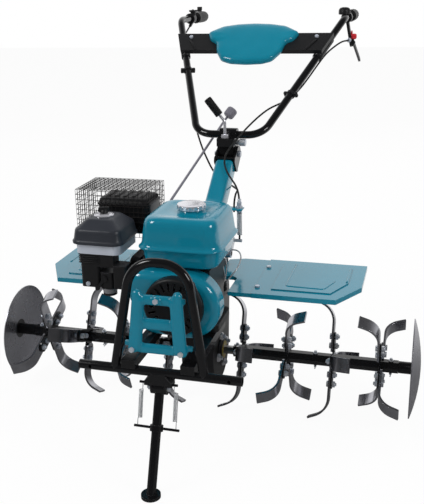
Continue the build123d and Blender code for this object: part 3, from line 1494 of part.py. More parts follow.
cage_size = [high - low for low, high in zip(CAGE_LOW, CAGE_HIGH)]
cage_middle = [(high + low) / 2 for low, high in zip(CAGE_LOW, CAGE_HIGH)]
with BuildPart() as muffler_guard:
    top_place = (cage_middle[0], cage_middle[1], CAGE_HIGH[2] - 2 * CAGE_WIRE)
    add(net(Plane(top_place), cage_size[0], cage_size[1]))
    side_place = (CAGE_LOW[0], cage_middle[1], cage_middle[2])
    add(net(Plane(side_place, x_dir=(0, 1, 0), z_dir=(1, 0, 0)), cage_size[1], cage_size[2]))
    for y in (CAGE_LOW[1] + 2 * CAGE_WIRE, CAGE_HIGH[1]):
        place = (cage_middle[0], y, cage_middle[2])
        add(net(Plane(place, x_dir=(1, 0, 0), z_dir=FORWARD), cage_size[0], cage_size[2]))
    stay_low = cage_middle[2] - CAGE_WIRE
    stay_high = cage_middle[2] + CAGE_WIRE
    stay_half = 0.6 * CAGE_STEP
    add(
        block(
            (CAGE_LOW[0] + CAGE_WIRE, pipe_y - stay_half, stay_low),
            (MUFFLER_LOW[0], pipe_y + stay_half, stay_high),
        )
    )
    for x in (cage_middle[0] - 40, cage_middle[0] + 40):
        add(
            block(
                (x - stay_half, MUFFLER_HIGH[1], stay_low),
                (x + stay_half, CAGE_HIGH[1] - CAGE_WIRE, stay_high),
            )
        )
keep("muffler_guard", muffler_guard.part)

# Fenders over the tines: an inner sheet bolted to the gear case, an outer sheet on its seam
FENDER_INSIDE = CASE_HALF + SLIDE_FIT
FENDER_LAP = 20.0
FENDER_NOTCH = 112.0
FENDER_FLANGE = 38.0
FENDER_FLANGE_Y = (4.0, 74.0)
FENDER_CORNER_X = 418.0
FENDER_CORNER_Y = -45.0
SEAM_BOLT_Y = (-106.0, 64.0)
seam_bolt_x = FENDER_SEAM - 2
lap_inset = FENDER_SHEET + AIR_GAP


def tray(points, low, high):
    """An upright slab over a plan outline."""
    with BuildPart() as slab:
        with BuildSketch(Plane.XY.offset(low)):
            with BuildLine():
                Polyline(*points, close=True)
            make_face()
        extrude(amount=high - low)
    return slab.part


def seam_holes():
    with BuildPart() as holes:
        with BuildSketch(Plane.XY.offset(FENDER_Z - FENDER_LIP)):
            with Locations(*[(seam_bolt_x, y) for y in SEAM_BOLT_Y]):
                Circle(M8_R + SLIDE_FIT / 2)
        extrude(amount=2 * FENDER_LIP)
    return holes.part


def inner_plan(inset):
    front = FENDER_FRONT + lap_inset + inset
    back = FENDER_BACK - lap_inset - inset
    outer = FENDER_SEAM + FENDER_LAP / 2 - inset
    return [
        (FENDER_INSIDE, -28 + inset),
        (FENDER_NOTCH - 12 + inset, -28 + inset),
        (FENDER_NOTCH + inset, -40 + inset),
        (FENDER_NOTCH + inset, front),
        (outer, front),
        (outer, back),
        (FENDER_NOTCH - 12, back),
        (FENDER_INSIDE, FENDER_FLANGE_Y[1] + 46 - inset),
    ]


with BuildPart() as inner_fenders:
    add(tray(inner_plan(0), FENDER_Z - FENDER_LIP, FENDER_Z))
    add(tray(inner_plan(FENDER_SHEET), FENDER_Z - FENDER_LIP, FENDER_Z - FENDER_SHEET), mode=Mode.SUBTRACT)
    with BuildSketch(Plane.YZ.offset(FENDER_INSIDE)):
        with Locations((sum(FENDER_FLANGE_Y) / 2, FENDER_Z - FENDER_FLANGE / 2)):
            Rectangle(FENDER_FLANGE_Y[1] - FENDER_FLANGE_Y[0], FENDER_FLANGE)
        with Locations(*CASE_BOLT_SPOTS):
            Circle(M8_R + SLIDE_FIT / 2, mode=Mode.SUBTRACT)
    extrude(amount=FENDER_SHEET)
    add(seam_holes(), mode=Mode.SUBTRACT)
    mirror(about=Plane.YZ)
keep("inner_fenders", inner_fenders.part)


def outer_plan(inset, seam):
    return [
        (seam, FENDER_FRONT + inset),
        (FENDER_CORNER_X - inset / 2, FENDER_FRONT + inset),
        (FENDER_OUT - inset, FENDER_CORNER_Y + inset / 2),
        (FENDER_OUT - inset, FENDER_BACK - inset),
        (seam, FENDER_BACK - inset),
    ]


EMBOSS_INSET = 40.0
EMBOSS_RISE = 3.0
outer_seam = FENDER_SEAM - FENDER_LAP / 2
with BuildPart() as outer_fenders:
    top = FENDER_Z + FENDER_SHEET
    add(tray(outer_plan(0, outer_seam), FENDER_Z - FENDER_LIP, top))
    add(
        tray(outer_plan(FENDER_SHEET, outer_seam - 1), FENDER_Z - FENDER_LIP, FENDER_Z),
        mode=Mode.SUBTRACT,
    )
    add(tray(outer_plan(EMBOSS_INSET, FENDER_SEAM + EMBOSS_INSET), FENDER_Z, top + EMBOSS_RISE))
    add(seam_holes(), mode=Mode.SUBTRACT)
    mirror(about=Plane.YZ)
keep("outer_fenders", outer_fenders.part)

# Rear hitch: plate on the gear case with two jaws bored for a drawbar pin
HITCH_PLATE = 8.0
HITCH_BORE_R = 8.25
HITCH_REACH = 44.0
HITCH_JAW = 10.0
HITCH_GAP = 32.0
hitch_pin_y = HITCH_FACE + HITCH_PLATE + HITCH_REACH - 20
with BuildPart() as hitch_bracket:
    add(
        block(
            (-27, HITCH_FACE, HITCH_Z - 35),
            (27, HITCH_FACE + HITCH_PLATE, HITCH_Z + 35),
        )
    )
    for side in (-1, 1):
        low = HITCH_Z + side * (HITCH_GAP + HITCH_JAW) / 2 - HITCH_JAW / 2
        add(
            block(
                (-20, HITCH_FACE + 1, low),
                (20, HITCH_FACE + HITCH_PLATE + HITCH_REACH, low + HITCH_JAW),
                6,
            )
        )
    with BuildSketch(Plane.XY.offset(HITCH_Z - 40)):
        with Locations((0, hitch_pin_y)):
            Circle(HITCH_BORE_R)
    extrude(amount=80, mode=Mode.SUBTRACT)
    with BuildSketch(Plane.XZ.offset(-HITCH_FACE)):
        with Locations(*hitch_bolts):
            Circle(M8_R + SLIDE_FIT / 2)
    extrude(amount=-HITCH_PLATE, mode=Mode.SUBTRACT)
keep("hitch_bracket", hitch_bracket.part)

# Handle column: a hollow pressed box from the case top, leaning back to the handle's bracket
COLUMN_FOOT = 6.0
column_run = Vector(0, COLUMN_TOP[0] - COLUMN_BEND[0], COLUMN_TOP[1] - COLUMN_BEND[1]).normalized()
column_back = Vector(0, column_run.Z, -column_run.Y)
column_low = Vector(0, *COLUMN_TOP) + column_back * COLUMN_DEPTH
column_heel = Vector(0, *COLUMN_BEND) + column_back * COLUMN_DEPTH
CABLE_TAB_X = 85.0
CABLE_TAB_Y = 110.0
CABLE_TAB_Z = 600.0
CABLE_TAB = 5.0
THROTTLE_STOP = (66.0, 118.0)


def column_side(inset):
    """The column's side outline drawn in by inset, in Y and Z."""
    with BuildSketch() as side:
        with BuildLine():
            Polyline(
                (COUNTER_Y - 46, COLUMN_FOOT_Z),
                (COUNTER_Y - 46, COLUMN_FOOT_Z + 50),
                COLUMN_SHOULDER,
                COLUMN_BEND,
                COLUMN_TOP,
                (column_low.Y, column_low.Z),
                (column_heel.Y, column_heel.Z),
                (COUNTER_Y + 46, COLUMN_FOOT_Z + 26),
                (COUNTER_Y + 46, COLUMN_FOOT_Z),
                close=True,
            )
        make_face()
        if inset:
            offset(amount=-inset, kind=Kind.INTERSECTION, mode=Mode.REPLACE)
    return side.sketch


with BuildPart() as handle_column:
    with BuildSketch(Plane.YZ):
        add(column_side(0))
    extrude(amount=COLUMN_HALF, both=True)
    add(
        block(
            (-FOOT_HALF, COUNTER_Y - 46, COLUMN_FOOT_Z),
            (FOOT_HALF, COUNTER_Y + 46, COLUMN_FOOT_Z + COLUMN_FOOT),
            6,
        )
    )
    with BuildSketch(Plane.YZ):
        add(column_side(COLUMN_SHEET + 2))
    extrude(amount=COLUMN_HALF - COLUMN_SHEET, both=True, mode=Mode.SUBTRACT)
    add(
        block(
            (COLUMN_HALF - 1, CABLE_TAB_Y - 16, CABLE_TAB_Z),
            (CABLE_TAB_X + 12, CABLE_TAB_Y + 18, CABLE_TAB_Z + CABLE_TAB),
        )
    )
    with BuildSketch(Plane.XY.offset(CABLE_TAB_Z)):
        with Locations((CABLE_TAB_X, CABLE_TAB_Y), THROTTLE_STOP):
            Circle(CABLE_R + 3)
    extrude(amount=CABLE_TAB, mode=Mode.SUBTRACT)
    with BuildSketch(Plane.XY.offset(COLUMN_FOOT_Z)):
        with Locations(*foot_bolts):
            Circle(M8_R + SLIDE_FIT / 2)
    extrude(amount=COLUMN_FOOT, mode=Mode.SUBTRACT)
keep("handle_column", handle_column.part)

# Handle bracket on the column's top, the clamp that pivots in it and the lock lever
PIVOT_R = 6.0
CLAMP_HALF = COLUMN_HALF - AIR_GAP
CLAMP_WALL = 9.0
PIVOT_LUG_R = 22.0
top_middle = (Vector(0, *COLUMN_TOP) + column_low) * 0.5
pivot = top_middle + column_run * PIVOT_REACH
top_plane = Plane(top_middle, x_dir=(1, 0, 0), z_dir=column_run)
with BuildPart() as handle_bracket:
    with BuildSketch(top_plane):
        Rectangle(2 * (COLUMN_HALF + EAR_THICK), COLUMN_DEPTH)
    extrude(amount=BRACKET_PLATE)
    with BuildSketch(Plane.YZ.offset(COLUMN_HALF)):
        with Locations((pivot.Y, pivot.Z)):
            Circle(EAR_R)
        with Locations((top_middle.Y + column_back.Y * 20, top_middle.Z + column_back.Z * 20)):
            Circle(8)
        with Locations((top_middle.Y - column_back.Y * 20, top_middle.Z - column_back.Z * 20)):
            Circle(8)
        make_hull()
        with Locations((pivot.Y, pivot.Z)):
            Circle(PIVOT_R, mode=Mode.SUBTRACT)
    extrude(amount=EAR_THICK)
    mirror(about=Plane.YZ)
    add(handle_column.part, mode=Mode.SUBTRACT)
keep("handle_bracket", handle_bracket.part)

CLAMP_BOLT_SHARE = 0.6
clamp_bolt = pivot + (Vector(0, BASE_BAR_Y, BASE_BAR_Z) - pivot) * CLAMP_BOLT_SHARE
LOCK_X = -4.0
LOCK_Y = BASE_BAR_Y - 38
LOCK_SEAT_Z = BASE_BAR_Z - 5
LOCK_LUG = 26.0
LOCK_STEM_R = 5.0
LOCK_NUT_R = 13.0
LOCK_KNEE_Z = 840.0
LOCK_KNOB_R = 13.5
lock_knob_low = Vector(-21, LOCK_Y, 862)
lock_knob_high = Vector(-62, LOCK_Y, 914)
with BuildPart() as handle_clamp:
    with BuildSketch(Plane.YZ):
        with Locations((pivot.Y, pivot.Z)):
            Circle(PIVOT_LUG_R)
        with Locations((BASE_BAR_Y, BASE_BAR_Z)):
            Circle(TUBE_R + CLAMP_WALL)
        make_hull()
    extrude(amount=CLAMP_HALF, both=True)
    add(
        block(
            (-CLAMP_HALF, LOCK_Y - 16, LOCK_SEAT_Z - LOCK_LUG),
            (CLAMP_HALF, BASE_BAR_Y, LOCK_SEAT_Z),
        )
    )
    with BuildSketch(Plane.YZ):
        with Locations((pivot.Y, pivot.Z)):
            Circle(PIVOT_R + RUN_FIT)
        with Locations((BASE_BAR_Y, BASE_BAR_Z)):
            Circle(TUBE_R)
        with Locations((clamp_bolt.Y, clamp_bolt.Z)):
            Circle(M8_R)
    extrude(amount=CLAMP_HALF, both=True, mode=Mode.SUBTRACT)
keep("handle_clamp", handle_clamp.part)

lock_start = Vector(LOCK_X, LOCK_Y, LOCK_SEAT_Z + AIR_GAP)
lock_run = (lock_knob_high - lock_knob_low).normalized()
with BuildPart() as lock_lever:
    add(round_bar(lock_start, (0, 0, 1), LOCK_NUT_R, 10))
    add(
        rod(
            [
                (LOCK_X, LOCK_Y, LOCK_SEAT_Z + 8),
                (LOCK_X, LOCK_Y, LOCK_KNEE_Z),
                tuple(lock_knob_low + lock_run * 6),
            ],
            LOCK_STEM_R,
            [8.0],
        )
    )
    add(
        round_bar(
            lock_knob_low, lock_run, LOCK_KNOB_R, (lock_knob_high - lock_knob_low).length
        )
    )
keep("lock_lever", lock_lever.part)

# Handlebar of one bent tube, its grips and the console across it
BAR_BENDS = [90.0, 70.0, 70.0, 90.0]
handle_points = [
    (-GRIP_X, GRIP_END_Y, GRIP_Z),
    (-GRIP_X, GRIP_BEND_Y, GRIP_Z),
    (-BASE_BAR_HALF, BASE_BAR_Y, BASE_BAR_Z),
    (BASE_BAR_HALF, BASE_BAR_Y, BASE_BAR_Z),
    (GRIP_X, GRIP_BEND_Y, GRIP_Z),
    (GRIP_X, GRIP_END_Y, GRIP_Z),
]
handlebar = rod(handle_points, TUBE_R, BAR_BENDS, TUBE_WALL)
keep("handlebar", handlebar)

arm_run = hypot(GRIP_BEND_Y - BASE_BAR_Y, GRIP_Z - BASE_BAR_Z)
arm_slope = Vector(0, GRIP_BEND_Y - BASE_BAR_Y, GRIP_Z - BASE_BAR_Z).normalized()
arm_plane = Plane(
    (0, BASE_BAR_Y, BASE_BAR_Z), x_dir=(1, 0, 0), z_dir=Vector(1, 0, 0).cross(arm_slope)
)
PANEL_MARGIN = 16.0
PANEL_LOW_FACE = TUBE_R + SLIDE_FIT


def arm_x(run):
    """Half the width between the arms' middles at a distance up their slope."""
    return BASE_BAR_HALF + (GRIP_X - BASE_BAR_HALF) * run / arm_run


def console_slab(points, low, high, draft=0.0):
    """A slab over an outline on the arms' plane."""
    with BuildPart() as slab:
        with BuildSketch(arm_plane.offset(low)):
            with BuildLine():
                Polyline(*points, close=True)
            make_face()
        extrude(amount=high - low, taper=draft)
    return slab.part


panel_outline = [
    (-arm_x(PANEL_LOW) - PANEL_MARGIN, PANEL_LOW),
    (arm_x(PANEL_LOW) + PANEL_MARGIN, PANEL_LOW),
    (arm_x(PANEL_HIGH) + PANEL_MARGIN, PANEL_HIGH),
    (-arm_x(PANEL_HIGH) - PANEL_MARGIN, PANEL_HIGH),
]
panel_middle = (PANEL_LOW + PANEL_HIGH) / 2
panel_bolt_run = PANEL_HIGH - 22
panel_bolt_spots = [(side * (arm_x(panel_bolt_run) - 34), panel_bolt_run) for side in (-1, 1)]
with BuildPart() as console_panel:
    add(console_slab(panel_outline, PANEL_LOW_FACE, PANEL_LOW_FACE + PANEL_THICK))
    with BuildSketch(arm_plane.offset(PANEL_LOW_FACE)):
        with Locations((0, panel_middle)):
            Rectangle(2 * arm_x(PANEL_LOW) - 60, PANEL_HIGH - PANEL_LOW - 16)
    extrude(amount=PANEL_THICK - 4, mode=Mode.SUBTRACT)
    with BuildSketch(arm_plane.offset(PANEL_LOW_FACE)):
        with Locations(*panel_bolt_spots):
            Circle(M8_R + SLIDE_FIT / 2)
    extrude(amount=PANEL_THICK, mode=Mode.SUBTRACT)
keep("console_panel", console_panel.part)

COVER_TOP_HALF = 165.0
COVER_LOW_HALF = 95.0
COVER_SHELL = 4.0
cover_base = PANEL_LOW_FACE + PANEL_THICK + SLIDE_FIT / 4


def cover_plan(inset):
    mid = COVER_LOW + 0.62 * (COVER_HIGH - COVER_LOW)
    return [
        (inset - COVER_LOW_HALF, COVER_LOW + inset),
        (COVER_LOW_HALF - inset, COVER_LOW + inset),
        (COVER_TOP_HALF - inset, mid),
        (COVER_TOP_HALF - inset - 12, COVER_HIGH - inset),
        (inset + 12 - COVER_TOP_HALF, COVER_HIGH - inset),
        (inset - COVER_TOP_HALF, mid),
    ]


with BuildPart() as console_cover:
    add(console_slab(cover_plan(0), cover_base, cover_base + COVER_RISE, 18))
    fillet(console_cover.faces().sort_by(Axis(arm_plane.origin, arm_plane.z_dir))[-1].edges(), 10)
    add(
        console_slab(cover_plan(COVER_SHELL), cover_base, cover_base + COVER_RISE - 2 * COVER_SHELL, 20),
        mode=Mode.SUBTRACT,
    )
keep("console_cover", console_cover.part)

GRIP_CAP = 4.0
with BuildPart() as grips:
    for side in (-1, 1):
        add(
            round_bar(
                (side * GRIP_X, GRIP_END_Y + GRIP_CAP, GRIP_Z),
                FORWARD,
                GRIP_R,
                GRIP_LENGTH + GRIP_CAP,
            )
        )
        add(
            round_bar((side * GRIP_X, GRIP_END_Y, GRIP_Z), FORWARD, TUBE_R, GRIP_LENGTH),
            mode=Mode.SUBTRACT,
        )
keep("grips", grips.part)

# Hand controls: clutch perch with its lever and latch on one grip, throttle on the other
PERCH_WIDTH = 30.0
PERCH_RING = 7.5
PERCH_ARM = 5.0
LEVER_PIN_R = 4.0
LATCH_PIN_R = 3.0
LATCH_DROP = 70.0
LEVER_PLATE = 8.0
LATCH_PLATE = 5.0
lean_out = radians(LEVER_LEAN)
perch_plane = Plane(
    (GRIP_X, PERCH_Y, GRIP_Z), x_dir=(0, 1, 0), z_dir=(cos(lean_out), 0, sin(lean_out))
)
perch_side = perch_plane.offset(PERCH_ARM)
CABLE_STOP_X = -36.0
CABLE_STOP_DROP = 80.0
THROTTLE_Y = 962.0
throttle_spot = Vector(-GRIP_X + 9, THROTTLE_Y, GRIP_Z + TUBE_R + PERCH_RING)
throttle_stop_run = Vector(0, -0.93, -0.37)
throttle_stop = Vector(-GRIP_X + 4, THROTTLE_Y - 2, GRIP_Z - TUBE_R - 4)
STOP_LENGTH = 26.0
with BuildPart() as lever_clamps:
    for side, middle in ((1, PERCH_Y), (-1, THROTTLE_Y)):
        ring_start = (side * GRIP_X, middle + PERCH_WIDTH / 2, GRIP_Z)
        add(round_bar(ring_start, FORWARD, TUBE_R + PERCH_RING, PERCH_WIDTH))
    with BuildSketch(perch_plane.offset(-PERCH_ARM)):
        with Locations((0, -LEVER_DROP / 2)):
            Rectangle(28, LEVER_DROP)
        with Locations((0, -LEVER_DROP)):
            Circle(14)
    extrude(amount=2 * PERCH_ARM)
    with BuildSketch(perch_side):
        with Locations((0, -LEVER_DROP)):
            Circle(LEVER_PIN_R)
    extrude(amount=LEVER_PLATE + 3)
    with BuildSketch(perch_side):
        with Locations((0, -LATCH_DROP)):
            Circle(LATCH_PIN_R)
    extrude(amount=LATCH_PLATE + 2)
    stop_start = perch_plane.from_local_coords(Vector(-8, -CABLE_STOP_DROP))
    add(round_bar(stop_start, FORWARD, CABLE_R + 2, -CABLE_STOP_X - 8))
    add(round_bar(throttle_spot - Vector(0, 0, PERCH_RING), (0, 0, 1), 10, PERCH_RING + 5))
    add(round_bar(throttle_spot, (0, 0, 1), LATCH_PIN_R, 15))
    add(round_bar(throttle_stop, throttle_stop_run, 2 * CABLE_R, STOP_LENGTH))
    for side in (-1, 1):
        add(
            round_bar((side * GRIP_X, GRIP_END_Y, GRIP_Z), FORWARD, TUBE_R, 300),
            mode=Mode.SUBTRACT,
        )
keep("lever_clamps", lever_clamps.part)

lever_fall = Rotation(0, 0, -LEVER_FALL)
with BuildPart() as clutch_lever:
    with BuildSketch(perch_plane.offset(PERCH_ARM + SLIDE_FIT)):
        with Locations(Location((0, -LEVER_DROP)) * lever_fall * Location((LEVER_LENGTH / 2, 0))):
            SlotCenterToCenter(LEVER_LENGTH - 18, 18)
        with Locations((0, -LEVER_DROP)):
            Circle(12)
        with Locations((0, -LEVER_DROP)):
            Circle(LEVER_PIN_R + RUN_FIT, mode=Mode.SUBTRACT)
    extrude(amount=LEVER_PLATE - SLIDE_FIT)
keep("clutch_lever", clutch_lever.part)

with BuildPart() as clutch_latch:
    with BuildSketch(perch_plane.offset(PERCH_ARM + SLIDE_FIT)):
        with Locations((0, -LATCH_DROP)):
            Circle(9)
        with Locations(Location((0, -LATCH_DROP)) * Rotation(0, 0, 30) * Location((14, 0))):
            Rectangle(28, 11)
        with Locations((0, -LATCH_DROP)):
            Circle(LATCH_PIN_R + RUN_FIT, mode=Mode.SUBTRACT)
    extrude(amount=LATCH_PLATE - SLIDE_FIT)
keep("clutch_latch", clutch_latch.part)

THROTTLE_R = 15.0
THROTTLE_REACH = 40.0
throttle_plane = Plane(throttle_spot + Vector(0, 0, 5 + SLIDE_FIT), x_dir=(0.6, 0.8, 0))
with BuildPart() as throttle_lever:
    with BuildSketch(throttle_plane):
        Circle(THROTTLE_R)
        with Locations((THROTTLE_REACH / 2, 0)):
            Rectangle(THROTTLE_REACH, 12)
        Circle(LATCH_PIN_R + RUN_FIT, mode=Mode.SUBTRACT)
    extrude(amount=7)
    with BuildSketch(throttle_plane.offset(6)):
        with Locations((THROTTLE_REACH - 6, 0)):
            Rectangle(12, 16)
    extrude(amount=12)
keep("throttle_lever", throttle_lever.part)

# Shift lever on the case's side, with a bent rod back to its knob under the handlebar
SHIFT_ROD_R = 4.0
SHIFT_HUB_R = 16.0
SHIFT_HUB = 16.0
SHIFT_NECK = (-54.0, 478.0, 812.0)
SHIFT_KNOB_R = 19.0
SHIFT_KNOB_LENGTH = 36.0
hub_start = Vector(-CASE_HALF - SLIDE_FIT, *SHIFT_PIVOT)
knob_run = (Vector(*SHIFT_KNOB) - Vector(*SHIFT_NECK)).normalized()
with BuildPart() as shift_lever:
    add(round_bar(Vector(*SHIFT_KNOB) - knob_run * 18, knob_run, SHIFT_KNOB_R, SHIFT_KNOB_LENGTH))
    fillet(shift_lever.edges(), 9)
    add(round_bar(hub_start, (-1, 0, 0), SHIFT_HUB_R, SHIFT_HUB))
    add(
        rod(
            [
                (hub_start.X - SHIFT_HUB / 2, SHIFT_PIVOT[0], SHIFT_PIVOT[1] + 12),
                SHIFT_KNEE,
                SHIFT_NECK,
                tuple(Vector(*SHIFT_KNOB) - knob_run * 10),
            ],
            SHIFT_ROD_R,
            [26.0, 10.0],
        )
    )
    add(round_bar(hub_start, (-1, 0, 0), SHIFT_PIN_R + RUN_FIT, SHIFT_HUB), mode=Mode.SUBTRACT)
keep("shift_lever", shift_lever.part)

# Clutch arm on the other side, pulled up by the cable
ARM_TIP = (CABLE_TAB_Y, 500.0)
ARM_HUB_R = 14.0
ARM_PLATE = 6.0
arm_start = CASE_HALF + SLIDE_FIT
arm_turn = degrees(atan2(ARM_TIP[1] - ARM_PIVOT[1], ARM_TIP[0] - ARM_PIVOT[0]))
arm_length = hypot(ARM_TIP[1] - ARM_PIVOT[1], ARM_TIP[0] - ARM_PIVOT[0])
with BuildPart() as clutch_arm:
    add(round_bar((arm_start, *ARM_PIVOT), (1, 0, 0), ARM_HUB_R, PIN_REACH - 2))
    with BuildSketch(Plane.YZ.offset(arm_start + PIN_REACH - 2 - ARM_PLATE)):
        with Locations(Location(ARM_PIVOT) * Rotation(0, 0, arm_turn) * Location((arm_length / 2, 0))):
            SlotCenterToCenter(arm_length, 18)
    extrude(amount=ARM_PLATE)
    pin_start = (arm_start + PIN_REACH - 2 - ARM_PLATE, *ARM_TIP)
    add(round_bar(pin_start, (1, 0, 0), 5, CABLE_TAB_X + 8 - pin_start[0]))
    arm_bore = round_bar((arm_start - 1, *ARM_PIVOT), (1, 0, 0), ARM_PIN_R + RUN_FIT, PIN_REACH)
    add(arm_bore, mode=Mode.SUBTRACT)
keep("clutch_arm", clutch_arm.part)


def cable(name, points):
    """A cable along hand-set points, each bend as large as its two runs allow."""
    spots = [Vector(*point) for point in points]
    bends = []
    for before, here, after in zip(spots, spots[1:], spots[2:]):
        turn = radians((here - before).get_angle(after - here))
        bends.append(0.45 * min((here - before).length, (after - here).length) / tan(turn / 2))
    tube = rod(points, CABLE_R, bends)
    with BuildLine() as line:
        FilletPolyline(*points, radius=bends)
    length = line.wires()[0].length
    share = tube.volume / (length * CABLE_R**2 * 3.14159)
    print(name, "length", round(length), "least bend", round(min(bends), 1))
    print(name, "volume over its plain tube", round(share, 3))
    keep(name, tube)


cable_start = perch_plane.from_local_coords(Vector(CABLE_STOP_X, -CABLE_STOP_DROP))
cable(
    "clutch_cable",
    [
        tuple(cable_start),
        tuple(cable_start + Vector(0, -36, 0)),
        (308, 800, 1056),
        (288, 756, 1043),
        (264, 706, 1022),
        (242, 654, 988),
        (220, 598, 950),
        (197, 546, 915),
        (171, 502, 888),
        (141, 456, 876),
        (116, 412, 867),
        (94, 366, 850),
        (70, 322, 826),
        (46, 281, 797),
        (24, 258, 769),
        (8, 244, 742),
        (6, 236, 717),
        (20, 208, 699),
        (42, 174, 684),
        (67, 139, 671),
        (82, 116, 650),
        (CABLE_TAB_X, CABLE_TAB_Y + 1, 622),
        (CABLE_TAB_X + 1, CABLE_TAB_Y, 588),
        (CABLE_TAB_X + 1, CABLE_TAB_Y + 1, 548),
        (CABLE_TAB_X, CABLE_TAB_Y, ARM_TIP[1] + 5 + AIR_GAP),
    ],
)
throttle_start = throttle_stop + throttle_stop_run * STOP_LENGTH
cable(
    "throttle_cable",
    [
        tuple(throttle_start),
        tuple(throttle_start + throttle_stop_run * 34),
        (-299, 808, 1070),
        (-283, 766, 1048),
        (-262, 708, 1024),
        (-240, 652, 988),
        (-218, 596, 950),
        (-196, 542, 912),
        (-174, 488, 876),
        (-151, 434, 839),
        (-129, 382, 804),
        (-107, 342, 773),
        (-88, 319, 741),
        (-69, 308, 708),
        (-54, 302, 682),
        (-36, 300, 658),
        (-10, 298, 641),
        (18, 284, 632),
        (42, 252, 629),
        (56, 212, 637),
        (63, 174, 642),
        (65.5, 140, 640),
        (*THROTTLE_STOP, CABLE_TAB_Z + 16),
        (THROTTLE_STOP[0] + 0.5, THROTTLE_STOP[1] - 1, CABLE_TAB_Z - 10),
    ],
)

# Bolts of the frame with their nuts, both hinge bolts and the cable adjuster
bolt_places = []


def bolts_at(bolt, places):
    for place in places:
        bolt_places.append((bolt, place))


bolts_at(
    hex_bolt(M8_R, M8_AF, M8_HEAD, RAIL_HEIGHT + CRANKCASE_SKIN - 1),
    [Plane((x, y, RAIL_BOTTOM), z_dir=(0, 0, -1)) for x, y in engine_bolt_spots],
)
bolts_at(
    hex_bolt(M8_R, M8_AF, M8_HEAD, PLATE_THICK + M8_BITE - 1),
    [Plane((x, PAD_FRONT - PLATE_THICK, z), z_dir=FORWARD) for x, z in tongue_bolts],
)
bolts_at(
    hex_bolt(BOLT_R, BOLT_AF, BOLT_HEAD, 2 * LUG_HALF, NUT_HEIGHT, BOLT_TAIL),
    [Plane((LUG_HALF, y, z), z_dir=(1, 0, 0)) for y, z in rim_bolts],
)
bolts_at(
    hex_bolt(M8_R, M8_AF, M8_HEAD, 2 * FENDER_SHEET, M8_NUT, 2),
    [
        Plane((side * seam_bolt_x, y, FENDER_Z + FENDER_SHEET))
        for side in (-1, 1)
        for y in SEAM_BOLT_Y
    ],
)
bolts_at(
    hex_bolt(M8_R, M8_AF, M8_HEAD, FENDER_SHEET + SLIDE_FIT + CASE_WALL - 1),
    [
        Plane((side * (FENDER_INSIDE + FENDER_SHEET), y, z), z_dir=(side, 0, 0))
        for side in (-1, 1)
        for y, z in CASE_BOLT_SPOTS
    ],
)
bolts_at(
    hex_bolt(M8_R, M8_AF, M8_HEAD, COLUMN_FOOT + M8_BITE - 1),
    [Plane((x, y, COLUMN_FOOT_Z + COLUMN_FOOT)) for x, y in foot_bolts],
)
bolts_at(
    hex_bolt(M8_R, M8_AF, M8_HEAD, HITCH_PLATE + M8_BITE - 1),
    [Plane((x, HITCH_FACE + HITCH_PLATE, z), z_dir=(0, 1, 0)) for x, z in hitch_bolts],
)
bolts_at(
    hex_bolt(M8_R, M8_AF, M8_HEAD, GUARD_SHELL, M8_NUT, 2),
    [
        Plane(hoop_plane.from_local_coords(Vector(x, rise, GUARD_FACE)), z_dir=hoop_plane.z_dir)
        for x, rise in guard_bolts
    ],
)
bolts_at(
    hex_bolt(STAND_PIN_R, BOLT_AF, BOLT_HEAD, 2 * (EAR_GAP + EAR_PLATE), NUT_HEIGHT, BOLT_TAIL),
    [Plane((EAR_GAP + EAR_PLATE, STAND_Y, STAND_Z), z_dir=(1, 0, 0))],
)
bolts_at(
    hex_bolt(PIVOT_R, BOLT_AF + 3, BOLT_HEAD, 2 * (COLUMN_HALF + EAR_THICK), NUT_HEIGHT, BOLT_TAIL),
    [Plane((COLUMN_HALF + EAR_THICK, pivot.Y, pivot.Z), z_dir=(1, 0, 0))],
)
with BuildPart() as cable_adjuster:
    with BuildSketch():
        RegularPolygon(M8_AF / 2 + 3, 6, major_radius=False)
        Circle(CABLE_R + 2, mode=Mode.SUBTRACT)
    extrude(amount=M8_NUT)
    with BuildSketch(Plane.XY.offset(M8_NUT)):
        Circle(M8_AF / 2 + 1)
        Circle(CABLE_R + 2, mode=Mode.SUBTRACT)
    extrude(amount=2 * M8_NUT)
bolts_at(cable_adjuster.part, [Plane((CABLE_TAB_X, CABLE_TAB_Y, CABLE_TAB_Z + CABLE_TAB))])
with BuildPart() as frame_bolts:
    for bolt, place in bolt_places:
        with Locations(place):
            add(bolt)
keep("frame_bolts", frame_bolts.part)

CLAMP_KNOB_R = 12.0
with BuildPart() as handle_bolts:
    panel_bolt = hex_bolt(M8_R, M8_AF, M8_HEAD, PANEL_THICK - 4)
    for x, run in panel_bolt_spots:
        with Locations(arm_plane.offset(PANEL_LOW_FACE + PANEL_THICK) * Location((x, run, 0))):
            add(panel_bolt)
    with Locations(Plane((CLAMP_HALF, clamp_bolt.Y, clamp_bolt.Z), z_dir=(1, 0, 0))):
        add(hex_bolt(M8_R, M8_AF, EAR_THICK + 3, 2 * CLAMP_HALF, M8_NUT, 2))
    knob_start = (CLAMP_HALF + EAR_THICK + 2, clamp_bolt.Y, clamp_bolt.Z)
    add(round_bar(knob_start, (1, 0, 0), CLAMP_KNOB_R, 20))
keep("handle_bolts", handle_bolts.part)

# The part stands with the middle of its box over the origin
boxes = [part.bounding_box() for part in pieces.values()]
middle_y = (min(box.min.Y for box in boxes) + max(box.max.Y for box in boxes)) / 2
os.makedirs("parts", exist_ok=True)
for name, part in pieces.items():
    placed = Location((0, -middle_y, 0)) * part
    placed.label = name
    export_step(placed, f"parts/{name}.step")
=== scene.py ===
import math

import bpy
from mathutils import Matrix, Vector


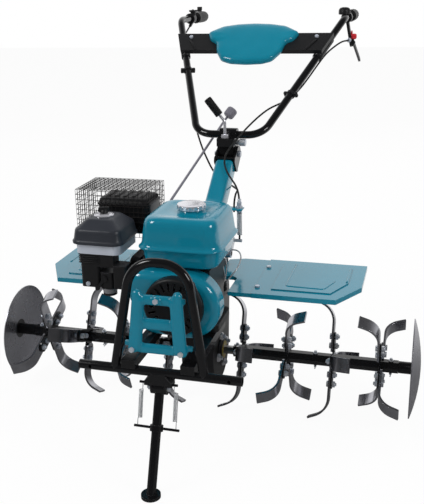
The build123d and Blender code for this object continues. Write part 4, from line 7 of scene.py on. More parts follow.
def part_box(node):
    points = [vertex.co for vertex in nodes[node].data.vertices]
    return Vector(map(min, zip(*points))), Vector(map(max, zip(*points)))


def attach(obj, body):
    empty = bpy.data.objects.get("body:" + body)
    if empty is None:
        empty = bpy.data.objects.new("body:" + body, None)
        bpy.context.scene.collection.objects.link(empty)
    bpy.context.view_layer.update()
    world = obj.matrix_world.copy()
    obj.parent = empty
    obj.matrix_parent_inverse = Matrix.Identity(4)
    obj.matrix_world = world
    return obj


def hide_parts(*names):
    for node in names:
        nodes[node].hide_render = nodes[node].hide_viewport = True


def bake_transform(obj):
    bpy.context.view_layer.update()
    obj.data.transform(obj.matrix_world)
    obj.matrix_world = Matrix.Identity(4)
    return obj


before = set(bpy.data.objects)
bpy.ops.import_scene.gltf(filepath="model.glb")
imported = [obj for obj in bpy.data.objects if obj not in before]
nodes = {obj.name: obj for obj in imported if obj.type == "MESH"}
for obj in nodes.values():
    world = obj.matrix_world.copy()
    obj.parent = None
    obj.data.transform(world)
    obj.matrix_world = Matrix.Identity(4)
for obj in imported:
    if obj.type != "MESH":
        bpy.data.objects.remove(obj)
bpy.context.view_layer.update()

# Studio: a pale sweep of floor, a white surround that is dark behind the photographer,
# and large soft lamps, with the camera in front and a little to the right.
FLOOR_HALF = 14.0
FLOOR_DROP = 0.0005
IMAGE = (424, 504)
FOCAL_PIXELS = 795.5
PRINCIPAL = (199.4, 250.0)
CAMERA_PLACE = Vector((0.6375, -2.4954, 1.2657))
CAMERA_YAW = math.radians(16.5)
CAMERA_PITCH = math.radians(18.5)
CAMERA_ROLL = math.radians(-1.4)
SENSOR = 36.0
CLIP_END = 60.0
FLOOR_GLOW = 0.95
FLOOR_MIRROR = 0.85
MIRROR_RUN = (-0.1, 1.0)
ROOM_DIM = 0.42
ROOM_DARK = 0.06
LAMP_TARGET = Vector((0, 0, 0.5))
LAMPS = (
    ("lamp_left", (-2.6, -2.6, 3.2), 1.4, 62.0, True),
    ("lamp_right", (3.4, -1.6, 2.6), 1.2, 40.0, True),
    ("lamp_top", (0.2, 0.4, 4.2), 3.4, 58.0, False),
    ("lamp_back", (-0.8, 3.6, 2.6), 2.6, 34.0, False),
)


class Socket:
    """One output of a shader node. Arithmetic on it adds Math nodes to its tree."""

    def __init__(self, tree, output=None):
        self.tree = tree
        self.output = output

    def node(self, kind, inputs=None, output=0, **settings):
        made = self.tree.nodes.new("ShaderNode" + kind)
        for name, value in settings.items():
            setattr(made, name, value)
        for name, value in (inputs or {}).items():
            if isinstance(value, Socket):
                self.tree.links.new(value.output, made.inputs[name])
            else:
                made.inputs[name].default_value = value
        return Socket(self.tree, made.outputs[output] if len(made.outputs) else None)

    def math(self, operation, *values):
        return self.node("Math", dict(enumerate(values)), operation=operation)

    def __add__(self, other):
        return self.math("ADD", self, other)

    def __radd__(self, other):
        return self.math("ADD", other, self)

    def __sub__(self, other):
        return self.math("SUBTRACT", self, other)

    def __rsub__(self, other):
        return self.math("SUBTRACT", other, self)

    def __mul__(self, other):
        return self.math("MULTIPLY", self, other)


def blank(name):
    """A new node material and a Socket that makes nodes in it."""
    material = bpy.data.materials.new(name)
    material.use_nodes = True
    material.node_tree.nodes.clear()
    return material, Socket(material.node_tree)


def close(shader, surface):
    """Joins a surface to the material's output."""
    shader.node("OutputMaterial", {"Surface": surface})


def mixed(shader, factor, first, second):
    """Two colours mixed by a factor."""
    ends = {"Factor": factor, 6: first, 7: second}
    return shader.node("Mix", ends, 2, data_type="RGBA")


def ramp(shader, value, low, high):
    """Rises smoothly from 0 to 1 while the value goes from low to high."""
    ends = {"Value": value, "From Min": low, "From Max": high, "To Min": 0.0, "To Max": 1.0}
    return shader.node("MapRange", ends, interpolation_type="SMOOTHSTEP")


def rgb(red, green, blue):
    """A colour as shader nodes take it."""
    return (red, green, blue, 1.0)


def axes(first, second, third):
    """The turn that lays x, y and z along three directions."""
    return Matrix((first, second, third)).transposed().to_4x4()


sight = Vector(
    (
        -math.sin(CAMERA_YAW) * math.cos(CAMERA_PITCH),
        math.cos(CAMERA_YAW) * math.cos(CAMERA_PITCH),
        -math.sin(CAMERA_PITCH),
    )
)
level = Vector((math.cos(CAMERA_YAW), math.sin(CAMERA_YAW), 0))
upright = level.cross(sight)
right = level * math.cos(CAMERA_ROLL) + upright * math.sin(CAMERA_ROLL)
above = upright * math.cos(CAMERA_ROLL) - level * math.sin(CAMERA_ROLL)
lens = bpy.data.cameras.new("camera")
lens.sensor_fit = "HORIZONTAL"
lens.sensor_width = SENSOR
lens.lens = SENSOR * FOCAL_PIXELS / IMAGE[0]
lens.shift_x = (IMAGE[0] / 2 - PRINCIPAL[0]) / IMAGE[0]
lens.shift_y = (PRINCIPAL[1] - IMAGE[1] / 2) / IMAGE[0]
lens.clip_end = CLIP_END
camera = bpy.data.objects.new("camera", lens)
bpy.context.scene.collection.objects.link(camera)
camera.matrix_world = Matrix.Translation(CAMERA_PLACE) @ axes(right, above, -sight)
bpy.context.scene.camera = camera
bpy.context.scene.view_settings.view_transform = "Standard"

bpy.ops.mesh.primitive_plane_add(size=2 * FLOOR_HALF, location=(0, 0, -FLOOR_DROP))
floor = bpy.context.object
floor.name = "studio_floor"
floor_paint, shader = blank("floor_paint")
rays = [shader.node("LightPath", {}, name) for name in ("Is Camera Ray", "Is Glossy Ray")]
lit = shader.node("BsdfDiffuse", {"Color": rgb(0.86, 0.86, 0.86), "Roughness": 0.6})
glow = shader.node("Emission", {"Color": rgb(1, 1, 1), "Strength": 1.0})
seen = shader.node("MixShader", {0: rays[0] * FLOOR_GLOW, 1: lit, 2: glow})
along = shader.node("SeparateXYZ", {0: shader.node("TexCoord", {}, "Object")}, "Y")
shade = ramp(shader, along, *MIRROR_RUN)
shade = mixed(shader, shade, rgb(0.08, 0.08, 0.08), rgb(0.9, 0.9, 0.9))
mirrored = shader.node("Emission", {"Color": shade, "Strength": 1.0})
close(shader, shader.node("MixShader", {0: rays[1] * FLOOR_MIRROR, 1: seen, 2: mirrored}))
floor.data.materials.append(floor_paint)

world = bpy.data.worlds.new("studio_white")
bpy.context.scene.world = world
world.use_nodes = True
world.node_tree.nodes.clear()
air = Socket(world.node_tree)
direct = [
    air.node("LightPath", {}, name)
    for name in ("Is Camera Ray", "Is Glossy Ray", "Is Transmission Ray")
]
compass = air.node("TexCoord", {}, "Generated")
ahead = air.node("VectorMath", {0: compass, 1: tuple(-sight)}, "Value", operation="DOT_PRODUCT")
white = air.node("Background", {"Color": rgb(1, 1, 1), "Strength": 1.0})
dim = air.node("Background", {"Color": rgb(1, 1, 1), "Strength": ROOM_DIM})
dark = air.node("Background", {"Color": rgb(1, 1, 1), "Strength": ROOM_DARK})
room = air.node("MixShader", {0: ramp(air, ahead, -0.75, 0.05), 1: white, 2: dark})
lit_by = air.node("MixShader", {0: direct[1], 1: dim, 2: room})
shown = air.math("MINIMUM", direct[0] + direct[2], 1.0)
air.node("OutputWorld", {"Surface": air.node("MixShader", {0: shown, 1: lit_by, 2: white})})

for name, place, size, power, shines in LAMPS:
    lamp = bpy.data.lights.new(name, "AREA")
    lamp.size = size
    lamp.energy = power
    holder = bpy.data.objects.new(name, lamp)
    bpy.context.scene.collection.objects.link(holder)
    holder.location = place
    holder.visible_glossy = shines
    toward = LAMP_TARGET - Vector(place)
    holder.rotation_euler = toward.to_track_quat("-Z", "Y").to_euler()


# Hex hubs: tubes with square plates welded on for the tine blades, sprayed gloss black
# and scuffed to grey along their edges.
GLOSS_BLACK = rgb(0.0055, 0.0055, 0.0062)
SCUFF_GREY = rgb(0.16, 0.16, 0.17)
PAINT_EDGE = 0.0012
PAINT_CLOUD = 14.0
PAINT_GRIT = 260.0
PEEL_SCALE = 420.0
PEEL_DEPTH = 0.0006


def dress(material, *names):
    """Gives CAD nodes their finish."""
    for name in names:
        mesh = nodes[name].data
        mesh.materials.clear()
        mesh.materials.append(material)


def edge_mask(shader, radius):
    """Nearly 0 on flats and near 1 on sharp outer edges, with the rounded normal beside it."""
    rounded = shader.node("Bevel", {"Radius": radius}, samples=4)
    flat = shader.node("NewGeometry", {}, "Normal")
    along = shader.node("VectorMath", {0: rounded, 1: flat}, "Value", operation="DOT_PRODUCT")
    return shader.math("MINIMUM", (1.0 - along) * 5.0, 1.0), rounded


def noise(shader, scale, detail=4.0, stretch=(1.0, 1.0, 1.0)):
    """Clouds of a grain size set by scale, in metres of the object."""
    place = shader.node("TexCoord", {}, "Object")
    place = shader.node("Mapping", {"Vector": place, "Scale": stretch})
    return shader.node("TexNoise", {"Vector": place, "Scale": scale, "Detail": detail}, "Fac")


def relief(shader, height, strength, depth, normal):
    """The normal of a surface with a fine relief on it."""
    ends = {"Strength": strength, "Distance": depth, "Height": height, "Normal": normal}
    return shader.node("Bump", ends)


def painted(name, colour, bare, rough, wear, peel=0.04, metal_wear=0.8, shine=0.35):
    """Sprayed paint: a faint orange peel, cloudy gloss, and metal showing on worn edges."""
    material, shader = blank(name)
    edge, rounded = edge_mask(shader, PAINT_EDGE)
    cloud = noise(shader, PAINT_CLOUD)
    grit = noise(shader, PAINT_GRIT, 3.0)
    chipped = shader.math("MINIMUM", edge * cloud * grit * (4.0 * wear), 1.0)
    tone = mixed(shader, cloud * 0.35, colour, tuple(min(c * 1.4, 1.0) for c in colour))
    bump = relief(shader, noise(shader, PEEL_SCALE, 2.0), peel, PEEL_DEPTH, rounded)
    surface = shader.node(
        "BsdfPrincipled",
        {
            "Base Color": mixed(shader, chipped, tone, bare),
            "Roughness": (cloud * 0.8 + grit * 0.4 + 0.4) * rough,
            "Metallic": chipped * metal_wear,
            "Specular IOR Level": shine,
            "Normal": bump,
        },
    )
    close(shader, surface)
    return material


gloss_black = painted(
    "gloss_black", GLOSS_BLACK, SCUFF_GREY, rough=0.10, wear=0.35, peel=0.02, shine=0.5
)
dress(gloss_black, "tine_hubs")

# Bolts, nuts, the clip pins of the hubs and the clutch arm: zinc plated steel, bluish
# white with faint yellow clouds and a soft gloss from the plating bath.
ZINC = rgb(0.50, 0.56, 0.68)
ZINC_WARM = rgb(0.70, 0.66, 0.54)
METAL_EDGE = 0.0008
METAL_GRAIN = 300.0
METAL_BUMP = 0.12
GRAIN_DEPTH = 0.0004


def bare_metal(name, colour, warm, rough, cloud_scale, grain=(1.0, 1.0, 1.0), metal=1.0):
    """Bare or plated metal with clouds of tint, fine grain and softened edges."""
    material, shader = blank(name)
    edge, rounded = edge_mask(shader, METAL_EDGE)
    cloud = noise(shader, cloud_scale)
    fine = noise(shader, METAL_GRAIN, 4.0, grain)
    bump = relief(shader, fine, METAL_BUMP, GRAIN_DEPTH, rounded)
    surface = shader.node(
        "BsdfPrincipled",
        {
            "Base Color": mixed(shader, shader.math("MINIMUM", cloud * cloud, 1.0), colour, warm),
            "Roughness": rough + fine * 0.14 - edge * 0.08,
            "Metallic": metal,
            "Normal": bump,
        },
    )
    close(shader, surface)
    return material


zinc = bare_metal("zinc_plate", ZINC, ZINC_WARM, rough=0.24, cloud_scale=40.0, metal=0.45)
dress(zinc, "tine_bolts", "hub_pins", "frame_bolts", "handle_bolts", "clutch_arm")

# Tine blades: bent sickle strips of spring steel in sets of four, bolted to the square
# plates. Forged dark, then burnished, so that they shine where they face the light.
BLADE_STEEL = rgb(0.52, 0.52, 0.56)
BLADE_DARK = rgb(0.30, 0.30, 0.32)
blade_steel = bare_metal("blade_steel", BLADE_STEEL, BLADE_DARK, rough=0.16, cloud_scale=30.0)
dress(blade_steel, "tine_blades")

# End discs: dished sheet steel in dark grey paint that guard the row, with rings left
# by the spinning tool and rubbed bare along the rim.
DISC_HUB = 0.031
HUB_EDGE = 0.001
RING_WAVES = 2400.0
RING_BUMP = 0.02
RING_DEPTH = 0.0003
DISC_CLOUD = 9.0
DISC_GREY = rgb(0.30, 0.30, 0.33)
DISC_PALE = rgb(0.36, 0.36, 0.38)
material, shader = blank("disc_grey")
edge, rounded = edge_mask(shader, PAINT_EDGE)
disc_low, disc_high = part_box("side_discs")
disc_middle = (disc_low + disc_high) / 2
place = shader.node("TexCoord", {}, "Object")
away_y = shader.node("SeparateXYZ", {0: place}, "Y") - disc_middle.y
away_z = shader.node("SeparateXYZ", {0: place}, "Z") - disc_middle.z
from_axle = shader.math("SQRT", away_y * away_y + away_z * away_z)
rings = shader.math("SINE", from_axle * RING_WAVES) * 0.5 + 0.5
cloud = noise(shader, DISC_CLOUD)
worn = shader.math("MINIMUM", edge * (0.3 + cloud) + (cloud - 0.5) * rings * 0.2, 1.0)
worn = shader.math("MAXIMUM", worn, 0.0)
sheet = ramp(shader, from_axle, DISC_HUB, DISC_HUB + HUB_EDGE)
surface = shader.node(
    "BsdfPrincipled",
    {
        "Base Color": mixed(shader, sheet, GLOSS_BLACK, mixed(shader, worn, DISC_GREY, DISC_PALE)),
        "Roughness": 0.18 + cloud * 0.20,
        "Metallic": (0.75 + worn * 0.2) * sheet,
        "Specular IOR Level": 0.4,
        "Normal": relief(shader, rings, RING_BUMP, RING_DEPTH, rounded),
    },
)
close(shader, surface)
dress(material, "side_discs")

# Shafts, gears and bearings inside the case: ground and hobbed steel with a film of
# oil. Only the hex stub of the output shaft shows.
STEEL = rgb(0.34, 0.34, 0.35)
OILED = rgb(0.22, 0.19, 0.14)
oiled_steel = bare_metal(
    "oiled_steel", STEEL, OILED, rough=0.24, cloud_scale=18.0, grain=(0.2, 6.0, 6.0)
)
dress(
    oiled_steel,
    "output_shaft",
    "idler_gear",
    "lay_shaft",
    "clutch_shaft",
    "bearings",
    "clutch_drum",
    "crankshaft",
)

# Gear case: two iron castings bolted on a middle joint, painted black over the rough
# skin that the sand left, with yellow passivated seal rings where the shaft comes out.
CASE_BLACK = rgb(0.009, 0.009, 0.010)
SEAL_YELLOW = rgb(0.50, 0.38, 0.07)
SEAL_DARK = rgb(0.26, 0.20, 0.06)
CAST_EDGE = 0.0018
CAST_CLOUD = 12.0
SAND_SCALE = 380.0
SAND_BUMP = 0.3
SAND_DEPTH = 0.001


def cast(name, colour, bare, rough):
    """A casting under paint: coarse sand skin, cloudy gloss and rubbed edges."""
    material, shader = blank(name)
    edge, rounded = edge_mask(shader, CAST_EDGE)
    sand = noise(shader, SAND_SCALE, 5.0)
    cloud = noise(shader, CAST_CLOUD)
    bump = relief(shader, sand, SAND_BUMP, SAND_DEPTH, rounded)
    surface = shader.node(
        "BsdfPrincipled",
        {
            "Base Color": mixed(shader, shader.math("MINIMUM", edge * cloud, 1.0), colour, bare),
            "Roughness": rough + sand * 0.18,
            "Metallic": edge * 0.5,
            "Specular IOR Level": 0.35,
            "Normal": bump,
        },
    )
    close(shader, surface)
    return material


case_black = cast("case_black", CASE_BLACK, SCUFF_GREY, rough=0.28)
dress(case_black, "gearcase_left", "gearcase_right")
seal_yellow = bare_metal(
    "seal_yellow", SEAL_YELLOW, SEAL_DARK, rough=0.28, cloud_scale=60.0, metal=0.4
)
dress(seal_yellow, "shaft_seals")

# Bearing caps: round iron flanges over both ends of the shaft, each with four bright ears
# and held by a long zinc screw in every ear.
CASE_SIDE = 0.0505
EAR_SILVER = rgb(0.60, 0.60, 0.63)
EAR_DULL = rgb(0.42, 0.42, 0.44)
RIM_LEVELS = (
    (0, 0.046),
    (0.004, 0.046),
    (0.006, 0.043),
    (0.0065, 0.036),
    (0.009, 0.034),
)
EAR_LEVELS = ((0, 0.013), (0.006, 0.013), (0.008, 0.011))
SCREW_LEVELS = (
    (0.007, 0.0055),
    (0.009, 0.0065),
    (0.0150, 0.0065),
    (0.0160, 0.0050),
)
SCREW_RING = 0.048
EARS = 4
EAR_TURN = 10
AXLE_Y = disc_middle.y
DOUBLES = 0.00001
BLOCK_CREASE = math.radians(40)
ROUND_CREASE = math.radians(50)


def spot(x, y, z):
    """A place on the machine in metres, with y counted back from the axle."""
    return Vector((x, y + AXLE_Y, z))


def at(x, y, z):
    """The move from the origin to a place on the machine."""
    return Matrix.Translation(spot(x, y, z))


def moved(piece, move):
    """Carries the mesh of a piece through a move."""
    piece.data.transform(move)
    return piece


def worked(piece):
    """Makes a piece the only selected and active one."""
    bpy.ops.object.select_all(action="DESELECT")
    piece.select_set(True)
    bpy.context.view_layer.objects.active = piece


def eased_block(low, high, ease, segments=3):
    """A box between two corners with every edge rounded."""
    bpy.ops.mesh.primitive_cube_add(size=1)
    low, high = Vector(low), Vector(high)
    size = Matrix.Diagonal((*(high - low), 1))
    block = moved(bpy.context.object, Matrix.Translation((low + high) / 2) @ size)
    bpy.ops.object.mode_set(mode="EDIT")
    bpy.ops.mesh.select_all(action="SELECT")
    bpy.ops.mesh.bevel(offset=ease, segments=segments, affect="EDGES")
    bpy.ops.object.mode_set(mode="OBJECT")
    bpy.ops.object.shade_smooth_by_angle(angle=BLOCK_CREASE)
    return block


def drawn_up(name, levels, corner=0.0, segments=8):
    """The active flat face drawn up through levels of height, half width and half depth."""
    body = bpy.context.object
    body.name = name
    body.data.name = name
    bpy.ops.object.mode_set(mode="EDIT")
    bpy.ops.mesh.select_all(action="SELECT")
    if corner:
        bpy.ops.mesh.bevel(offset=corner, segments=segments, affect="VERTICES")
        bpy.ops.mesh.select_all(action="SELECT")
    for (low, low_wide, low_deep), (high, high_wide, high_deep) in zip(levels, levels[1:]):
        bpy.ops.mesh.extrude_region_move(TRANSFORM_OT_translate={"value": (0, 0, high - low)})
        grow = (high_wide / low_wide, high_deep / low_deep, 1)
        bpy.ops.transform.resize(value=grow, center_override=(0, 0, high))
    bpy.ops.mesh.select_all(action="SELECT")
    bpy.ops.mesh.normals_make_consistent(inside=False)
    bpy.ops.object.mode_set(mode="OBJECT")
    bpy.ops.object.shade_smooth_by_angle(angle=ROUND_CREASE)
    return body


def stacked(name, levels, corner):
    """A body with four rounded corners, drawn up through levels."""
    bpy.ops.mesh.primitive_plane_add(size=2)
    base, wide, deep = levels[0]
    size = Matrix.Diagonal((wide, deep, 1, 1))
    moved(bpy.context.object, Matrix.Translation((0, 0, base)) @ size)
    return drawn_up(name, levels, corner)


def turned(name, profile, sides, flute=1.0):
    """A round or many sided body, plain or fluted, drawn up through heights and radii."""
    bpy.ops.mesh.primitive_circle_add(vertices=sides, radius=1, fill_type="NGON")
    body = bpy.context.object
    for number, vertex in enumerate(body.data.vertices):
        if number % 4 > 1:
            vertex.co *= flute
    base, radius = profile[0]
    moved(body, Matrix.Translation((0, 0, base)) @ Matrix.Diagonal((radius, radius, 1, 1)))
    return drawn_up(name, [(height, radius, radius) for height, radius in profile])


def tube(name, route, thickness):
    """A round rod along a route, as a mesh, with the line that it follows."""
    curve = bpy.data.curves.new(name, "CURVE")
    curve.dimensions = "3D"
    curve.resolution_u = 6
    spline = curve.splines.new("NURBS")
    spline.points.add(len(route) - 1)
    for point, place in zip(spline.points, route):
        point.co = (*place, 1)
    spline.order_u = 3
    spline.use_endpoint_u = True
    rod = bpy.data.objects.new(name, curve)
    bpy.context.scene.collection.objects.link(rod)
    line = bpy.data.meshes.new_from_object(rod)
    followed = [tuple(vertex.co) for vertex in line.vertices]
    bpy.data.meshes.remove(line)
    curve.bevel_depth = thickness / 2
    curve.bevel_resolution = 4
    curve.use_fill_caps = True
    worked(rod)
    bpy.ops.object.convert(target="MESH")
    bpy.ops.object.shade_smooth_by_angle(angle=ROUND_CREASE)
    return bpy.context.object, followed


def merged():
    """Merges the doubled points of the active piece."""
    bpy.ops.object.mode_set(mode="EDIT")
    bpy.ops.mesh.select_all(action="SELECT")
    bpy.ops.mesh.remove_doubles(threshold=DOUBLES)
    bpy.ops.object.mode_set(mode="OBJECT")


def joined(name, parts):
    """Several pieces made one, with their doubles merged."""
    bpy.ops.object.select_all(action="DESELECT")
    for part in parts:
        part.select_set(True)
    bpy.context.view_layer.objects.active = parts[0]
    bpy.ops.object.join()
    whole = bpy.context.object
    whole.name = name
    whole.data.name = name
    merged()
    return whole


def finished(piece, material, slot, *replaced):
    """Gives a piece its finish and hides the CAD nodes that it stands for."""
    piece.data.materials.clear()
    piece.data.materials.append(material)
    if replaced:
        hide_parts(*replaced)


def fitted(piece, material, slot, body, *replaced):
    """Finishes a piece and lets it ride on the body that carries it."""
    finished(piece, material, slot, *replaced)
    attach(piece, body)


rims, ears, screws = [], [], []
for side in (-1, 1):
    lay = Matrix.Translation((side * CASE_SIDE, disc_middle.y, disc_middle.z))
    lay = lay @ Matrix.Rotation(math.radians(90 * side), 4, "Y")
    rims.append(moved(turned("rim", RIM_LEVELS, 64), lay))
    for number in range(EARS):
        turn = Matrix.Rotation(math.radians(360 / EARS * number + EAR_TURN), 4, "Z")
        place = lay @ turn @ Matrix.Translation((SCREW_RING, 0, 0))
        ears.append(moved(turned("ear", EAR_LEVELS, 24), place))
        screws.append(moved(turned("screw", SCREW_LEVELS, 6), place))
fitted(joined("bearing_rims", rims), case_black, "case_metal", "machine")
ear_metal = bare_metal("ear_silver", EAR_SILVER, EAR_DULL, rough=0.30, cloud_scale=60.0, metal=0.5)
fitted(joined("bearing_ears", ears), ear_metal, "fan_metal", "machine")
fitted(joined("rim_screws", screws), zinc, "zinc_steel", "machine")

# Frame: square rails, tube crossbar, bent tube bumper, the stand with its foot and the
# hitch jaw, all welded steel in gloss black.
dress(
    gloss_black,
    "engine_frame",
    "front_crossbar",
    "bumper_hoop",
    "stand_bracket",
    "stand_leg",
    "hitch_bracket",
)

# Stand springs: bright drawn wire, close coiled, hooked between the bracket and the
# collar on the leg.
WIRE_BRIGHT = rgb(0.66, 0.67, 0.69)
WIRE_DARK = rgb(0.40, 0.41, 0.43)
bright_wire = bare_metal(
    "bright_wire", WIRE_BRIGHT, WIRE_DARK, rough=0.16, cloud_scale=90.0, metal=0.4
)
springs = bpy.data.objects.new("leg_springs", nodes["stand_springs"].data.copy())
springs.data.name = "leg_springs"
bpy.context.scene.collection.objects.link(springs)
worked(springs)
merged()
bpy.ops.object.shade_smooth_by_angle(angle=BLOCK_CREASE)
finished(springs, bright_wire, "spring_steel", "stand_springs")
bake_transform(springs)

# Bumper guard: a ladder pressed from thick sheet, with round posts and softer rungs that
# run into them, bolted on tabs to the bumper. Deep teal enamel with a clear, wet shine.
TEAL = rgb(0.003, 0.185, 0.275)
TEAL_PRIMER = rgb(0.20, 0.26, 0.28)
GUARD_LEAN = math.atan2(26.0, 293.0)
GUARD_FOOT = (0, -0.445, 0.309)
GUARD_VOXEL = 0.002
GUARD_PASSES = 14
POST_R = 0.0125
POST_DEPTH = 0.0105
POST_LINES = (
    ((0.0675, 0.064), (0.0545, 0.213)),
    ((0.0615, 0.066), (0.0500, 0.206)),
    ((0.0555, 0.068), (0.0455, 0.196)),
)
RUNGS = ((0.053, 0.079, 0.056), (0.118, 0.148, 0.050), (0.184, 0.210, 0.045))
RUNG_DEPTH = (-0.003, 0.0150)
RUNG_EASE = 0.007
BOSS_RISE = 0.199
BOSS_LEVELS = ((0.005, 0.013), (0.0175, 0.012), (0.0215, 0.0105))
GUARD_TABS = ((0.060, 0.0934, 0.074), (0.050, 0.0732, 0.198))
TAB_HALF = 0.008
TAB_DEPTH = (-0.0035, 0.0055)
TAB_EASE = 0.002
EAST, NORTH, UP = Vector((1, 0, 0)), Vector((0, 1, 0)), Vector((0, 0, 1))
teal = painted(
    "teal_enamel",
    TEAL,
    TEAL_PRIMER,
    rough=0.12,
    wear=0.10,
    peel=0.03,
    metal_wear=0.2,
    shine=0.85,
)
dress(teal, "fan_shroud")


def blended(piece, voxel, passes):
    """Fuses the overlapping bodies of a piece into one skin with soft inner corners."""
    worked(piece)
    skin = piece.modifiers.new("skin", "REMESH")
    skin.mode = "VOXEL"
    skin.voxel_size = voxel
    bpy.ops.object.modifier_apply(modifier="skin")
    soft = piece.modifiers.new("soft", "SMOOTH")
    soft.factor = 0.5
    soft.iterations = passes
    bpy.ops.object.modifier_apply(modifier="soft")
    bpy.ops.object.shade_smooth()


parts = []
for side in (-1, 1):
    for line in POST_LINES:
        ends = [(side * x, height, POST_DEPTH) for x, height in line]
        parts.append(tube("post", ends, 2 * POST_R)[0])
        for end in ends:
            bpy.ops.mesh.primitive_uv_sphere_add(
                segments=24, ring_count=16, radius=POST_R, location=end
            )
            bpy.ops.object.transform_apply()
            parts.append(bpy.context.object)
    for start, end, height in GUARD_TABS:
        near, far = sorted((side * start, side * end))
        low = (near, height - TAB_HALF, TAB_DEPTH[0])
        high = (far, height + TAB_HALF, TAB_DEPTH[1])
        parts.append(eased_block(low, high, TAB_EASE))
for bottom, top, reach in RUNGS:
    low = (-reach, bottom, RUNG_DEPTH[0])
    high = (reach, top, RUNG_DEPTH[1])
    parts.append(eased_block(low, high, RUNG_EASE))
boss = turned("boss", BOSS_LEVELS, 32)
parts.append(moved(boss, Matrix.Translation((0, BOSS_RISE, 0))))
guard = joined("bumper_guard", parts)
blended(guard, GUARD_VOXEL, GUARD_PASSES)
rise = Vector((0, math.sin(GUARD_LEAN), math.cos(GUARD_LEAN)))
front = Vector((0, -math.cos(GUARD_LEAN), math.sin(GUARD_LEAN)))
moved(guard, at(*GUARD_FOOT) @ axes(EAST, rise, front))
fitted(guard, teal, "teal_paint", "machine", "front_guard")

# Fenders: pressed steel sheets in the same paint, with a crease pressed up round the
# middle of each raised panel and another along its outer edge.
CREASE = 0.006
CREASE_Z = 0.4360
CREASE_INNER = (
    (0.268, 0.097),
    (0.268, -0.070),
    (0.268, -0.086),
    (0.285, -0.087),
    (0.360, -0.090),
    (0.376, -0.090),
    (0.381, -0.076),
    (0.400, -0.022),
)
CREASE_OUTER = ((0.434, 0.097), (0.434, 0.040), (0.434, -0.024))
dress(teal, "inner_fenders", "outer_fenders")
creases = []
for side in (-1, 1):
    for line in (CREASE_INNER, CREASE_OUTER):
        route = [spot(side * x, y, CREASE_Z) for x, y in line]
        creases.append(tube("crease", route, CREASE)[0])
fitted(joined("fender_creases", creases), teal, "teal_paint", "machine")

# Fuel tank: two deep drawn halves with a rolled seam between them, a crowned top and a
# collar for the cap, in the same enamel.
TANK_CORNER = 0.034
TANK_LEVELS = (
    (0.534, 0.096, 0.104),
    (0.536, 0.101, 0.109),
    (0.541, 0.104, 0.112),
    (0.560, 0.107, 0.115),
    (0.579, 0.110, 0.118),
    (0.5825, 0.1125, 0.1205),
    (0.5835, 0.1175, 0.1255),
    (0.5850, 0.1190, 0.1270),
    (0.5880, 0.1190, 0.1270),
    (0.5895, 0.1178, 0.1258),
    (0.5915, 0.1150, 0.1230),
    (0.5950, 0.1128, 0.1208),
    (0.6010, 0.1112, 0.1192),
    (0.6150, 0.1095, 0.1175),
    (0.6300, 0.1078, 0.1158),
    (0.6450, 0.1058, 0.1138),
    (0.6550, 0.1035, 0.1115),
    (0.6610, 0.1010, 0.1090),
    (0.6655, 0.0970, 0.1050),
    (0.6685, 0.0915, 0.0995),
    (0.6700, 0.0850, 0.0930),
    (0.6702, 0.0780, 0.0860),
    (0.6690, 0.0690, 0.0770),
    (0.6675, 0.0590, 0.0660),
    (0.6668, 0.0480, 0.0530),
)
NECK_LEVELS = (
    (0.6600, 0.0440),
    (0.6670, 0.0425),
    (0.6685, 0.0390),
    (0.6700, 0.0370),
    (0.6780, 0.0360),
    (0.6800, 0.0340),
)
CAP_X = 0.012
CAP_Y = -0.156
tank_low, tank_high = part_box("fuel_tank")
tank_middle = (tank_low + tank_high) / 2
shell = stacked("shell", TANK_LEVELS, TANK_CORNER)
moved(shell, Matrix.Translation((tank_middle.x, tank_middle.y, 0)))
neck = moved(turned("neck", NECK_LEVELS, 64), at(CAP_X, CAP_Y, 0))
fitted(joined("tank_shell", (shell, neck)), teal, "teal_paint", "machine", "fuel_tank")

# Handle column: a bent box of the same teal sheet with wide rounded corners, welded on
# a foot that bolts to the gear case, with a small tab that stops the two cables.
COLUMN_HALF = 0.029
COLUMN_ROUND = 0.011
COLUMN_CREASE = math.radians(35)
COLUMN_SIDE = (
    (-0.001, 0.514),
    (-0.001, 0.564),
    (0.042, 0.598),
    (0.125, 0.626),
    (0.262, 0.726),
    (0.2986, 0.6759),
    (0.1616, 0.5759),
    (0.091, 0.540),
    (0.091, 0.514),
)
COLUMN_FOOT = ((-0.046, -0.001, 0.514), (0.046, 0.091, 0.520))
CABLE_TAB = ((0.026, 0.094, 0.600), (0.097, 0.128, 0.605))
SHEET_EASE = 0.0015


def outlined(points):
    """A flat face through points."""
    bpy.ops.mesh.primitive_circle_add(vertices=len(points), fill_type="NGON")
    face = bpy.context.object
    for vertex, point in zip(face.data.vertices, points):
        vertex.co = point
    return face


box = outlined([spot(-COLUMN_HALF, y, z) for y, z in COLUMN_SIDE])
bpy.ops.object.mode_set(mode="EDIT")
bpy.ops.mesh.select_all(action="SELECT")
bpy.ops.mesh.extrude_region_move(TRANSFORM_OT_translate={"value": (2 * COLUMN_HALF, 0, 0)})
bpy.ops.mesh.select_all(action="SELECT")
bpy.ops.mesh.normals_make_consistent(inside=False)
bpy.ops.mesh.bevel(offset=COLUMN_ROUND, segments=5, affect="EDGES")
bpy.ops.object.mode_set(mode="OBJECT")
bpy.ops.object.shade_smooth_by_angle(angle=COLUMN_CREASE)
foot, tab = [
    eased_block(spot(*low), spot(*high), SHEET_EASE) for low, high in (COLUMN_FOOT, CABLE_TAB)
]
fitted(joined("column_box", (box, foot, tab)), teal, "teal_paint", "machine", "handle_column")

